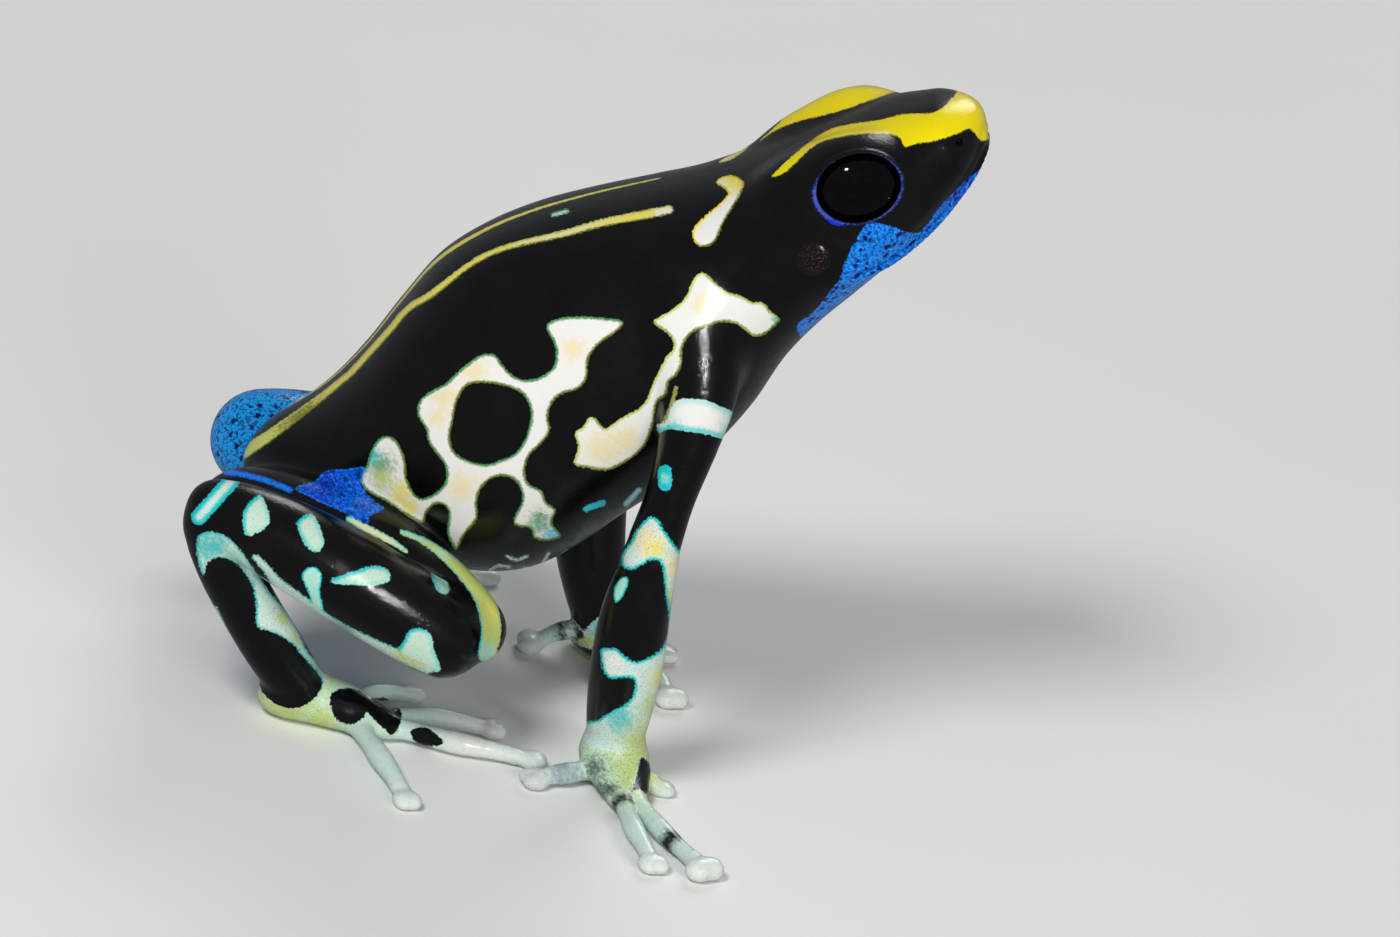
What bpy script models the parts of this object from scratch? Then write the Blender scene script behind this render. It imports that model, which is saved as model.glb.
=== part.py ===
"""Life-size model of a dyeing poison dart frog, sitting up on straight arms.

Sizes in the tables are millimetres, and the meshes are in metres. The frog faces +X, its
right side is toward -Y, and it stands on the plane z = 0. The body is lofted along one
straight axis that rises from vent to snout: s is the way along it and n the height above it.
"""

import math

import bmesh
import bpy
import numpy as np
from mathutils import Matrix, Vector

MM = 0.001

# Driving dimensions in millimetres
GAP = 0.3
VENT = np.array([-16.7, 0.0, 10.9])
BODY_PITCH = math.radians(37.7)
BODY_LENGTH = 45.1
NECK = 32.2
EYE_RADIUS = 2.3
EYE_S, EYE_N, EYE_Y = 38.0, 0.75, 3.9
EYE_LOOKS_UP = math.radians(18)
EYE_LOOKS_FORWARD = math.radians(12)

# Half sizes of the lids' dome along the body, upward and outward, and of the eye's opening
LID_DOME = (3.2, 2.85, 2.75)
EYE_OPENING = (2.25, 1.78)
LID_TURN = math.radians(-9)

# The brow's middle and its half sizes along the body, across it and upward
BROW_S, BROW_N, BROW_Y = 36.3, 1.55, 3.4
BROW_SIZE = (3.8, 2.1, 2.15)
EAR_S, EAR_N = 34.7, -0.85
EAR_RADIUS = 0.85
EAR_GROOVE = 0.16
NOSTRIL_S, NOSTRIL_N = 43.8, 0.45
NOSTRIL_SIZE = (0.27, 0.5, 0.22)
MOUTH_GROOVE = 0.16
LIP_RIDGE = 0.3
LIP_SHARE = 0.985
SNOUT_TIP = 0.1
TAIL_TIP = 0.7
FLAT_DEPTH = 0.07

# Digits: the disc's length, its most share of the last joint, its height as a share of its
# width, the thinnest part of the shaft and the rise of its arch
DISC_LENGTH = 1.5
DISC_SHARE = 0.7
DISC_FLATNESS = 0.55
DISC_START, DISC_MIDDLE = 0.55, 0.25
DIGIT_WAIST = 0.85
KNUCKLE = 0.95
ARCH = 0.15

# How finely the forms are divided
BODY_SIDES = 32
TORSO_RINGS = 20
HEAD_RINGS = 16
LIMB_SIDES = 14
LIMB_RINGS = 10
PALM_RINGS = 8
DIGIT_SIDES = 8
DIGIT_RINGS = 6
CAP_RINGS = 2
MOUTH_SIDES = 6
MOUTH_RINGS = 26
EYE_FACETS = (20, 12)
LID_FACETS = (24, 14)
BROW_FACETS = (20, 12)
NOSTRIL_FACETS = (10, 6)
EAR_FACETS = (18, 6)

AXIS_S = np.array([math.cos(BODY_PITCH), 0.0, math.sin(BODY_PITCH)])
AXIS_N = np.array([-math.sin(BODY_PITCH), 0.0, math.cos(BODY_PITCH)])
UPRIGHT = (0.0, 0.0, 1.0)
SIDEWAYS = (0.0, 1.0, 0.2)

# Body stations: s, half width, level of the widest line, crown, underside,
# squareness above the widest line and below it (2 is an ellipse)
STATIONS = np.array(
    [
        (0.5, 2.2, -1.2, 0.3, -2.8, 2.0, 2.0),
        (3.0, 4.2, -2.0, 1.2, -5.4, 2.1, 2.0),
        (6.0, 5.7, -3.0, 1.6, -8.6, 2.2, 2.0),
        (9.0, 6.8, -3.8, 2.7, -11.0, 2.3, 2.0),
        (12.0, 7.5, -3.9, 4.2, -12.1, 2.3, 2.1),
        (15.0, 7.9, -3.7, 5.5, -12.0, 2.3, 2.1),
        (18.0, 8.0, -3.4, 5.9, -11.4, 2.3, 2.1),
        (21.0, 7.9, -3.1, 5.75, -10.9, 2.3, 2.1),
        (24.0, 7.6, -2.8, 5.2, -10.1, 2.3, 2.0),
        (27.0, 7.1, -2.3, 4.5, -8.8, 2.3, 2.0),
        (30.0, 6.6, -1.7, 3.8, -7.0, 2.3, 2.0),
        (32.2, 6.5, -1.4, 3.5, -6.1, 2.4, 2.0),
        (35.0, 6.8, -1.3, 3.4, -5.15, 2.4, 2.1),
        (38.0, 6.4, -1.2, 3.3, -4.2, 2.3, 2.2),
        (41.0, 5.0, -0.6, 2.9, -3.2, 2.5, 2.3),
        (43.0, 3.7, 0.0, 2.4, -2.2, 2.6, 2.3),
        (44.3, 2.5, 0.3, 1.8, -1.2, 2.4, 2.2),
        (45.0, 1.2, 0.5, 1.2, -0.3, 2.0, 2.0),
    ]
)

# Limbs: x, y, z and radius of each knot from root to end
LIMBS = {
    "upper_arm_right": [
        (4.6, -3.5, 27.4, 3.0),
        (6.0, -5.2, 25.2, 2.8),
        (6.7, -6.7, 22.9, 2.25),
        (6.8, -7.8, 20.4, 1.7),
        (6.4, -8.6, 17.0, 1.4),
        (6.0, -9.0, 13.8, 1.55),
    ],
    "forearm_right": [
        (6.1, -9.0, 13.4, 1.5),
        (5.9, -9.0, 11.0, 1.8),
        (6.0, -8.6, 7.1, 1.95),
        (6.1, -8.1, 4.5, 1.8),
        (6.2, -7.6, 2.5, 1.6),
    ],
    "upper_arm_left": [
        (4.6, 3.5, 27.4, 3.0),
        (5.9, 5.2, 25.2, 2.8),
        (6.3, 6.9, 22.9, 2.25),
        (5.6, 8.1, 20.0, 1.65),
        (4.2, 8.8, 16.2, 1.38),
        (2.8, 8.9, 13.1, 1.5),
    ],
    "forearm_left": [
        (2.6, 8.9, 12.7, 1.5),
        (2.6, 8.6, 10.4, 1.85),
        (3.0, 7.8, 6.8, 2.0),
        (3.7, 7.4, 4.4, 1.75),
        (4.4, 7.3, 2.4, 1.5),
    ],
    "thigh_right": [
        (-15.7, -5.4, 9.8, 2.9),
        (-12.5, -6.2, 10.1, 3.0),
        (-8.2, -6.9, 9.7, 2.7),
        (-4.6, -8.0, 8.6, 2.2),
        (-2.5, -8.8, 7.5, 2.0),
    ],
    "shank_right": [
        (-17.1, -10.3, 12.2, 1.75),
        (-15.0, -10.6, 11.8, 2.1),
        (-12.1, -10.8, 11.0, 2.4),
        (-7.5, -11.0, 9.3, 2.5),
        (-3.9, -10.8, 7.6, 2.3),
    ],
    "tarsus_right": [
        (-17.2, -10.2, 11.0, 1.55),
        (-15.9, -9.9, 8.7, 1.6),
        (-14.3, -9.4, 6.3, 1.6),
        (-12.6, -8.9, 4.0, 1.6),
        (-11.3, -8.4, 2.3, 1.5),
    ],
    "thigh_left": [
        (-16.0, 5.7, 9.7, 2.95),
        (-12.5, 6.6, 9.6, 3.0),
        (-8.0, 7.8, 9.0, 2.8),
        (-4.0, 9.1, 8.2, 2.2),
        (-1.6, 9.9, 7.6, 1.9),
    ],
    "shank_left": [
        (-16.6, 12.2, 6.3, 1.7),
        (-14.0, 12.4, 6.4, 2.1),
        (-11.0, 12.5, 6.6, 2.35),
        (-6.0, 12.2, 6.9, 2.4),
        (-2.4, 11.6, 7.2, 2.1),
    ],
    "tarsus_left": [
        (-16.4, 11.8, 4.9, 1.55),
        (-14.6, 10.3, 4.2, 1.6),
        (-12.6, 8.7, 3.3, 1.55),
        (-10.8, 7.2, 2.4, 1.4),
        (-9.6, 6.3, 1.7, 1.25),
    ],
}

# Palms and soles: x, y, half width, half height of each knot, resting on the floor
PALMS = {
    "hand_right": [
        (6.1, -5.9, 1.5, 1.0),
        (6.4, -7.9, 1.95, 1.25),
        (7.0, -9.9, 1.6, 0.9),
        (7.5, -11.6, 1.15, 0.65),
    ],
    "hand_left": [
        (4.0, 8.4, 1.2, 0.9),
        (5.0, 7.2, 1.7, 1.15),
        (6.4, 6.2, 1.5, 0.85),
        (7.4, 5.4, 1.1, 0.62),
    ],
    "foot_right": [
        (-12.2, -7.9, 1.3, 1.1),
        (-10.4, -7.9, 1.5, 1.35),
        (-8.2, -8.1, 1.45, 1.2),
        (-6.0, -8.3, 1.25, 0.75),
    ],
    "foot_left": [
        (-9.9, 5.6, 1.2, 1.0),
        (-8.9, 7.4, 1.35, 1.1),
        (-7.6, 9.5, 1.35, 0.95),
        (-6.4, 11.7, 1.2, 0.62),
    ],
}

# Digits: where each leaves its palm or sole, its middle joint and its tip, as x and y,
# then the radius of the shaft and the half width of the disc
DIGITS = {
    "finger_1_right": ((6.8, -8.4), (8.2, -8.7), (9.6, -8.6), 0.55, 0.68),
    "finger_3_right": ((7.7, -11.1), (9.5, -14.5), (12.2, -18.1), 0.58, 1.12),
    "finger_2_right": ((7.0, -11.3), (8.0, -14.9), (9.4, -18.4), 0.57, 0.85),
    "finger_4_right": ((5.4, -8.6), (3.9, -9.9), (2.0, -10.9), 0.6, 0.85),
    "finger_1_left": ((4.6, 6.9), (2.7, 6.6), (0.5, 6.3), 0.55, 1.0),
    "finger_3_left": ((7.1, 5.6), (8.4, 4.2), (9.3, 2.3), 0.55, 1.0),
    "finger_2_left": ((6.0, 5.7), (5.8, 4.2), (5.4, 2.7), 0.53, 0.78),
    "finger_4_left": ((5.6, 7.3), (6.9, 8.2), (8.9, 8.7), 0.53, 0.78),
    "toe_5_right": ((-7.6, -8.9), (-6.0, -12.4), (-4.0, -16.5), 0.64, 0.78),
    "toe_4_right": ((-6.0, -8.3), (-2.2, -8.8), (2.5, -8.4), 0.62, 0.8),
    "toe_3_right": ((-6.6, -7.5), (-3.6, -6.2), (0.0, -5.5), 0.6, 0.85),
    "toe_2_right": ((-8.8, -7.3), (-7.1, -4.5), (-4.7, -2.7), 0.55, 0.72),
    "toe_1_right": ((-10.8, -7.1), (-10.3, -5.2), (-9.2, -4.0), 0.52, 0.64),
    "toe_5_left": ((-8.1, 9.8), (-9.6, 12.4), (-10.4, 15.4), 0.6, 0.78),
    "toe_4_left": ((-6.3, 11.9), (-4.7, 14.9), (-3.2, 18.2), 0.6, 0.8),
    "toe_3_left": ((-6.3, 10.9), (-4.1, 12.6), (-1.9, 14.5), 0.58, 0.82),
    "toe_2_left": ((-7.2, 8.9), (-5.4, 9.6), (-3.6, 10.7), 0.55, 0.72),
    "toe_1_left": ((-8.3, 6.9), (-7.0, 6.9), (-5.8, 7.3), 0.52, 0.64),
}

# How far above the floor a digit leaves its palm, where it doesn't lie flat
RISES = {"finger_1_left": 1.1}
MIDDLE_RISE = 0.8

# The line of the mouth on one side: s and n from under the snout to the corner
MOUTH_FRONT = (44.62, -0.72)
MOUTH_SIDE = [(43.6, -1.45), (41.8, -2.3), (40.0, -2.8), (38.0, -3.0), (36.0, -2.7)]

BLACK = (0.006, 0.006, 0.008)
BLUE = (0.0, 0.16, 0.75)
MINT = (0.42, 0.72, 0.6)
EYE_BLACK = (0.002, 0.002, 0.004)
SKIN_GLOSS = 0.25
EYE_GLOSS = 0.05


def body_point(s, y, n):
    """The place in the frog's frame, in millimetres, of a point given along the body."""
    return VENT + AXIS_S * s + AXIS_N * n + np.array([0.0, y, 0.0])


def metres(point):
    """A point in millimetres as a Blender vector in metres."""
    return Vector([float(c) * MM for c in point])


def between(rows, knots, at):
    """Smooth values at the places `at` through rows given at the knots."""
    rows = np.asarray(rows, float)
    knots = np.asarray(knots, float)
    at = np.asarray(at, float)
    slopes = np.gradient(rows, knots, axis=0)
    i = np.clip(np.searchsorted(knots, at, side="right") - 1, 0, len(knots) - 2)
    step = (knots[i + 1] - knots[i])[:, None]
    t = (at - knots[i])[:, None] / step
    start = (2 * t**3 - 3 * t**2 + 1) * rows[i] + (t**3 - 2 * t**2 + t) * slopes[i] * step
    end = (3 * t**2 - 2 * t**3) * rows[i + 1] + (t**3 - t**2) * slopes[i + 1] * step
    return start + end


def along(rows, count):
    """`count` rows spread evenly along the smooth curve through the given rows."""
    rows = np.asarray(rows, float)
    steps = np.linalg.norm(np.diff(rows[:, :3], axis=0), axis=1)
    knots = np.concatenate([[0.0], np.cumsum(steps)])
    return between(rows, knots, np.linspace(0.0, knots[-1], count))


def section(s):
    """Half width, level, crown, underside and the two squarenesses at s."""
    return between(STATIONS[:, 1:], STATIONS[:, 0], [s])[0]


def signed_power(value, power):
    return math.copysign(abs(value) ** power, value)


def body_ring(s):
    """The outline of the body across its axis at s."""
    wide, level, crown, under, square_up, square_down = section(s)
    ring = []
    for k in range(BODY_SIDES):
        turn = 2 * math.pi * k / BODY_SIDES
        up = math.sin(turn) >= 0
        power = 2 / (square_up if up else square_down)
        height = (crown - level) if up else (level - under)
        y = wide * signed_power(math.cos(turn), power)
        n = level + height * signed_power(math.sin(turn), power)
        ring.append(body_point(s, y, n))
    return ring


def skin_y(s, n):
    """Half width of the body at s and height n."""
    wide, level, crown, under, square_up, square_down = section(s)
    up = n >= level
    height = (crown - level) if up else (level - under)
    power = square_up if up else square_down
    share = min(1.0, abs(n - level) / height)
    return wide * (1 - share**power) ** (1 / power)


def new_object(name, mesh, colour, roughness=SKIN_GLOSS):
    """An object of one mesh with its own material, linked to the frog's collection."""
    obj = bpy.data.objects.new(name, mesh)
    PARTS.objects.link(obj)
    material = bpy.data.materials.new(name)
    material.use_nodes = True
    shader = material.node_tree.nodes["Principled BSDF"]
    shader.inputs["Base Color"].default_value = (*colour, 1.0)
    shader.inputs["Roughness"].default_value = roughness
    shader.inputs["Metallic"].default_value = 0.0
    mesh.materials.append(material)
    mesh.shade_smooth()
    return obj


def loft(name, rings, start=None, end=None):
    """A closed mesh through rings in millimetres, each end a pole or a flat cap."""
    bm = bmesh.new()
    loops = [[bm.verts.new(metres(p)) for p in ring] for ring in rings]
    sides = len(loops[0])
    for a, b in zip(loops, loops[1:]):
        for k in range(sides):
            bm.faces.new((a[k], a[(k + 1) % sides], b[(k + 1) % sides], b[k]))
    for loop, pole in ((loops[0], start), (loops[-1], end)):
        if pole is None:
            bm.faces.new(loop)
            continue
        tip = bm.verts.new(metres(pole))
        for k in range(sides):
            bm.faces.new((loop[k], loop[(k + 1) % sides], tip))
    bmesh.ops.recalc_face_normals(bm, faces=bm.faces)
    mesh = bpy.data.meshes.new(name)
    bm.to_mesh(mesh)
    bm.free()
    return mesh


def unit(vector):
    return vector / np.linalg.norm(vector)


def sweep(name, rows, sides, hint):
    """A round-ended closed mesh along rows of x, y, z, half width and half height.

    The half width is measured across both the path and the hint direction.
    """
    rows = np.asarray(rows, float)
    tangents = np.gradient(rows[:, :3], axis=0)
    hint = np.asarray(hint, float)

    def ring(centre, tangent, wide, high):
        across = unit(np.cross(tangent, hint))
        lift = unit(np.cross(across, tangent))
        turns = 2 * math.pi * np.arange(sides) / sides
        return [
            centre + across * wide * math.cos(t) + lift * high * math.sin(t) for t in turns
        ]

    def cap(row, tangent, way):
        """Rings that close an end like a half ellipsoid, outward, and its pole."""
        reach = (row[3] + row[4]) / 2 * way
        found = []
        for k in range(1, CAP_RINGS + 1):
            turn = math.pi / 2 * k / (CAP_RINGS + 1)
            centre = row[:3] + tangent * reach * math.sin(turn)
            shrink = math.cos(turn)
            found.append(ring(centre, tangent, row[3] * shrink, row[4] * shrink))
        return found, row[:3] + tangent * reach

    first, start = cap(rows[0], unit(tangents[0]), -1)
    last, end = cap(rows[-1], unit(tangents[-1]), 1)
    middle = [ring(r[:3], unit(t), r[3], r[4]) for r, t in zip(rows, tangents)]
    return loft(name, first[::-1] + middle + last, start, end)


def apply_modifier(obj, modifier):
    """Puts the modifier's result into the object's mesh."""
    depsgraph = bpy.context.evaluated_depsgraph_get()
    shaped = bpy.data.meshes.new_from_object(obj.evaluated_get(depsgraph))
    old = obj.data
    obj.modifiers.remove(modifier)
    obj.data = shaped
    shaped.name = old.name
    bpy.data.meshes.remove(old)


def keep_largest(obj):
    """Leaves only the largest closed surface of a mesh."""
    bm = bmesh.new()
    bm.from_mesh(obj.data)
    left = set(bm.faces)
    shells = []
    while left:
        seed = left.pop()
        shell = {seed}
        front = [seed]
        while front:
            for edge in front.pop().edges:
                for face in edge.link_faces:
                    if face in left:
                        left.discard(face)
                        shell.add(face)
                        front.append(face)
        shells.append(shell)
    shells.sort(key=lambda shell: sum(f.calc_area() for f in shell))
    loose = [face for shell in shells[:-1] for face in shell]
    if loose:
        bmesh.ops.delete(bm, geom=loose, context="FACES")
        bm.to_mesh(obj.data)
    bm.free()


def join(obj, meshes):
    """Fuses closed meshes into an object with one union."""
    pieces = bpy.data.collections.new("pieces")
    for mesh in meshes:
        pieces.objects.link(bpy.data.objects.new("piece", mesh))
    union = obj.modifiers.new("union", "BOOLEAN")
    union.operation = "UNION"
    union.operand_type = "COLLECTION"
    union.collection = pieces
    apply_modifier(obj, union)
    for piece in list(pieces.objects):
        bpy.data.objects.remove(piece)
    bpy.data.collections.remove(pieces)
    keep_largest(obj)


def cut(obj, mesh):
    """Takes a closed mesh out of an object."""
    cutter = bpy.data.objects.new("cutter", mesh)
    CUTTERS.objects.link(cutter)
    cutter.hide_render = True
    cutter.display_type = "WIRE"
    difference = obj.modifiers.new("cut", "BOOLEAN")
    difference.operation = "DIFFERENCE"
    difference.object = cutter
    apply_modifier(obj, difference)
    bpy.data.objects.remove(cutter)
    keep_largest(obj)


def grown(mesh, distance):
    """A copy of a mesh with every face moved out by the distance."""
    bm = bmesh.new()
    bm.from_mesh(mesh)
    bm.normal_update()
    moves = [v.normal * v.calc_shell_factor() * distance * MM for v in bm.verts]
    for v, move in zip(bm.verts, moves):
        v.co += move
    copy = bpy.data.meshes.new("grown")
    bm.to_mesh(copy)
    bm.free()
    return copy


def flatten_below(mesh):
    """Cuts a mesh flat at the floor."""
    bm = bmesh.new()
    bm.from_mesh(mesh)
    bmesh.ops.bisect_plane(
        bm,
        geom=list(bm.verts) + list(bm.edges) + list(bm.faces),
        dist=1e-7,
        plane_co=(0, 0, 0),
        plane_no=(0, 0, 1),
        clear_inner=True,
    )
    rim = [e for e in bm.edges if e.is_boundary]
    bmesh.ops.holes_fill(bm, edges=rim, sides=0)
    bmesh.ops.recalc_face_normals(bm, faces=bm.faces)
    bm.to_mesh(mesh)
    bm.free()


def ellipsoid(centre, size, axes, facets):
    """A closed ellipsoid with half sizes along three directions."""
    bm = bmesh.new()
    bmesh.ops.create_uvsphere(bm, u_segments=facets[0], v_segments=facets[1], radius=1.0)
    turn = Matrix([[float(axes[c][r]) for c in range(3)] for r in range(3)])
    for v in bm.verts:
        v.co = metres(centre) + turn @ Vector([v.co[i] * size[i] * MM for i in range(3)])
    mesh = bpy.data.meshes.new("ellipsoid")
    bm.to_mesh(mesh)
    bm.free()
    return mesh


def hoop(centre, facing, radius, thickness, facets):
    """A closed ring of round wire that faces a direction."""
    around, across = facets
    facing = Vector([float(c) for c in facing]).normalized()
    tilt = facing.to_track_quat("Z", "Y").to_matrix()
    bm = bmesh.new()
    loops = []
    for i in range(around):
        a = 2 * math.pi * i / around
        out = tilt @ Vector((math.cos(a), math.sin(a), 0.0))
        loop = []
        for j in range(across):
            b = 2 * math.pi * j / across
            offset = out * (radius + thickness * math.cos(b)) + facing * thickness * math.sin(b)
            loop.append(bm.verts.new(metres(centre) + offset * MM))
        loops.append(loop)
    for i in range(around):
        a, b = loops[i], loops[(i + 1) % around]
        for j in range(across):
            k = (j + 1) % across
            bm.faces.new((a[j], a[k], b[k], b[j]))
    bmesh.ops.recalc_face_normals(bm, faces=bm.faces)
    mesh = bpy.data.meshes.new("hoop")
    bm.to_mesh(mesh)
    bm.free()
    return mesh


def eye_axes(side):
    """Directions along the lids, up across them and out of the eye."""
    flat = math.cos(EYE_LOOKS_UP)
    outward = (
        np.array([0.0, side * flat * math.cos(EYE_LOOKS_FORWARD), 0.0])
        + AXIS_S * flat * math.sin(EYE_LOOKS_FORWARD)
        + AXIS_N * math.sin(EYE_LOOKS_UP)
    )
    level = unit(AXIS_S - outward * (AXIS_S @ outward))
    over = np.cross(outward, level) * -side
    lengthwise = level * math.cos(LID_TURN) + over * math.sin(LID_TURN)
    return lengthwise, np.cross(outward, lengthwise), outward


def eye_centre(side):
    return body_point(EYE_S, side * EYE_Y, EYE_N)


def make_torso():
    stations = np.linspace(STATIONS[0][0], NECK - GAP / 2, TORSO_RINGS)
    rings = [body_ring(s) for s in stations]
    tail = section(stations[0])
    pole = body_point(stations[0] - TAIL_TIP, 0.0, tail[1])
    return new_object("torso", loft("torso", rings, start=pole), BLACK)


def mouth_path():
    """Points of the mouth's line on the skin, from the right corner to the left."""
    right = [(s, -skin_y(s, n), n) for s, n in reversed(MOUTH_SIDE)]
    left = [(s, -y, n) for s, y, n in reversed(right)]
    front = [(MOUTH_FRONT[0], 0.0, MOUTH_FRONT[1])]
    return [body_point(*p) for p in right + front + left]


def lip_path():
    """Rows of the ridge that runs a little above the mouth's line."""
    middle = np.array([1.0, LIP_SHARE, 1.0])
    return [(*((p + AXIS_N * LIP_RIDGE) * middle), LIP_RIDGE, LIP_RIDGE) for p in mouth_path()]


def eye_opening(side):
    """A closed bar that opens the lids, from the middle of the eye outward."""
    lengthwise, upright, outward = eye_axes(side)
    ends = [eye_centre(side) + outward * reach for reach in np.linspace(0.0, 2 * LID_DOME[2], 3)]
    return sweep("opening", [(*p, *EYE_OPENING) for p in ends], LID_FACETS[0], upright)


def make_head():
    """The head with its brows, lids, lips, nostrils, ear discs and eye sockets."""
    stations = np.linspace(NECK + GAP / 2, STATIONS[-1][0], HEAD_RINGS)
    rings = [body_ring(s) for s in stations]
    tip = body_point(BODY_LENGTH + SNOUT_TIP, 0.0, section(STATIONS[-1][0])[1])
    head = new_object("head", loft("head", rings, end=tip), BLACK)
    body_axes = (AXIS_S, np.array([0.0, 1.0, 0.0]), AXIS_N)
    forms = [sweep("lip", along(lip_path(), MOUTH_RINGS), MOUTH_SIDES, AXIS_N)]
    for side in (-1, 1):
        brow = body_point(BROW_S, side * BROW_Y, BROW_N)
        forms.append(ellipsoid(brow, BROW_SIZE, body_axes, BROW_FACETS))
        forms.append(ellipsoid(eye_centre(side), LID_DOME, eye_axes(side), LID_FACETS))
    join(head, forms)
    for side in (-1, 1):
        cut(head, eye_opening(side))
        socket = (EYE_RADIUS + GAP,) * 3
        cut(head, ellipsoid(eye_centre(side), socket, body_axes, LID_FACETS))
        ear = body_point(EAR_S, side * skin_y(EAR_S, EAR_N), EAR_N)
        cut(head, hoop(ear, (0.0, side, 0.0), EAR_RADIUS, EAR_GROOVE, EAR_FACETS))
        nostril = body_point(NOSTRIL_S, side * skin_y(NOSTRIL_S, NOSTRIL_N), NOSTRIL_N)
        cut(head, ellipsoid(nostril, NOSTRIL_SIZE, body_axes, NOSTRIL_FACETS))
    groove = [(*p, MOUTH_GROOVE, MOUTH_GROOVE) for p in mouth_path()]
    cut(head, sweep("groove", along(groove, MOUTH_RINGS), MOUTH_SIDES, AXIS_N))


def make_eye(side, name):
    mesh = ellipsoid(eye_centre(side), (EYE_RADIUS,) * 3, eye_axes(side), EYE_FACETS)
    mesh.name = name
    new_object(name, mesh, EYE_BLACK, EYE_GLOSS)


def limb_mesh(name, extra=0.0):
    """The round length of a limb, made thicker all over by `extra` for a cutter."""
    rows = [(x, y, z, r + extra, r + extra) for x, y, z, r in LIMBS[name]]
    return sweep(name, along(rows, LIMB_RINGS), LIMB_SIDES, SIDEWAYS)


def palm_mesh(name, extra=0.0):
    """A palm or sole, flat where it rests on the floor unless it is a cutter."""
    rows = []
    for x, y, wide, high in PALMS[name]:
        rows.append((x, y, high - FLAT_DEPTH, wide + extra, high + extra))
    mesh = sweep(name, along(rows, PALM_RINGS), LIMB_SIDES, UPRIGHT)
    if not extra:
        flatten_below(mesh)
    return mesh


def digit_mesh(name, extra=0.0):
    """A slim shaft from the palm, arched a little, and a flattened disc at its tip."""
    root, middle, tip, radius, disc = DIGITS[name]
    root, middle, tip = (np.array(p) for p in (root, middle, tip))
    toward = unit(tip - middle)
    length = min(DISC_LENGTH, DISC_SHARE * np.linalg.norm(tip - middle))
    flat = disc * DISC_FLATNESS
    neck = radius * DIGIT_WAIST
    rise = RISES.get(name, 0.0)
    high = radius + ARCH
    rows = [
        (*root, high + rise, radius, radius),
        (*middle, high + rise * MIDDLE_RISE, radius * KNUCKLE, radius * KNUCKLE),
        (*(tip - toward * length), neck, neck, neck),
        (*(tip - toward * length * DISC_START), flat, disc * KNUCKLE, flat),
        (*(tip - toward * length * DISC_MIDDLE), flat, disc, flat),
    ]
    rows = [(x, y, z - FLAT_DEPTH, w + extra, h + extra) for x, y, z, w, h in rows]
    mesh = sweep(name, along(rows, DIGIT_RINGS), DIGIT_SIDES, UPRIGHT)
    if not extra:
        flatten_below(mesh)
    return mesh


def make_limbs(side, torso_cutter):
    """Both limbs of one side, each length cut clear of those it grows from."""
    arm, forearm, hand = f"upper_arm_{side}", f"forearm_{side}", f"hand_{side}"
    thigh, shank, tarsus, foot = f"thigh_{side}", f"shank_{side}", f"tarsus_{side}", f"foot_{side}"
    order = [
        (arm, limb_mesh, ["torso"], BLACK),
        (forearm, limb_mesh, [arm, "torso"], BLACK),
        (hand, palm_mesh, [forearm], MINT),
        (thigh, limb_mesh, ["torso"], BLUE),
        (shank, limb_mesh, [thigh, "torso"], BLACK),
        (tarsus, limb_mesh, [shank, thigh], BLACK),
        (foot, palm_mesh, [tarsus], MINT),
    ]
    made = []
    for digit in (name for name in DIGITS if name.endswith(side)):
        roots = [hand, forearm] if digit.startswith("finger") else [foot, tarsus]
        order.append((digit, digit_mesh, roots + made, MINT))
        made.append(digit)
    shapes = {name: shape for name, shape, neighbours, colour in order}
    for name, shape, neighbours, colour in order:
        obj = new_object(name, shape(name), colour)
        for neighbour in neighbours:
            if neighbour == "torso":
                cut(obj, torso_cutter.copy())
            else:
                cut(obj, shapes[neighbour](neighbour, GAP))


for old in list(bpy.data.objects):
    bpy.data.objects.remove(old)
PARTS = bpy.data.collections.new("dart_frog")
CUTTERS = bpy.data.collections.new("cutters")
bpy.context.scene.collection.children.link(PARTS)
bpy.context.scene.collection.children.link(CUTTERS)
trunk = make_torso()
make_head()
make_eye(-1, "eye_right")
make_eye(1, "eye_left")
around_trunk = grown(trunk.data, GAP)
make_limbs("right", around_trunk)
make_limbs("left", around_trunk)
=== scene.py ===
"""Looks of a life-size dyeing poison dart frog that sits up on straight arms.

Lengths are millimetres and colours sRGB of 0 to 255, unless a name says otherwise. Points
named as pixels are places in the 1400 by 937 photograph.
"""

import math

import bmesh
import bpy
import numpy as np
import openvdb as vdb
from mathutils import Matrix, Vector


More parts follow.
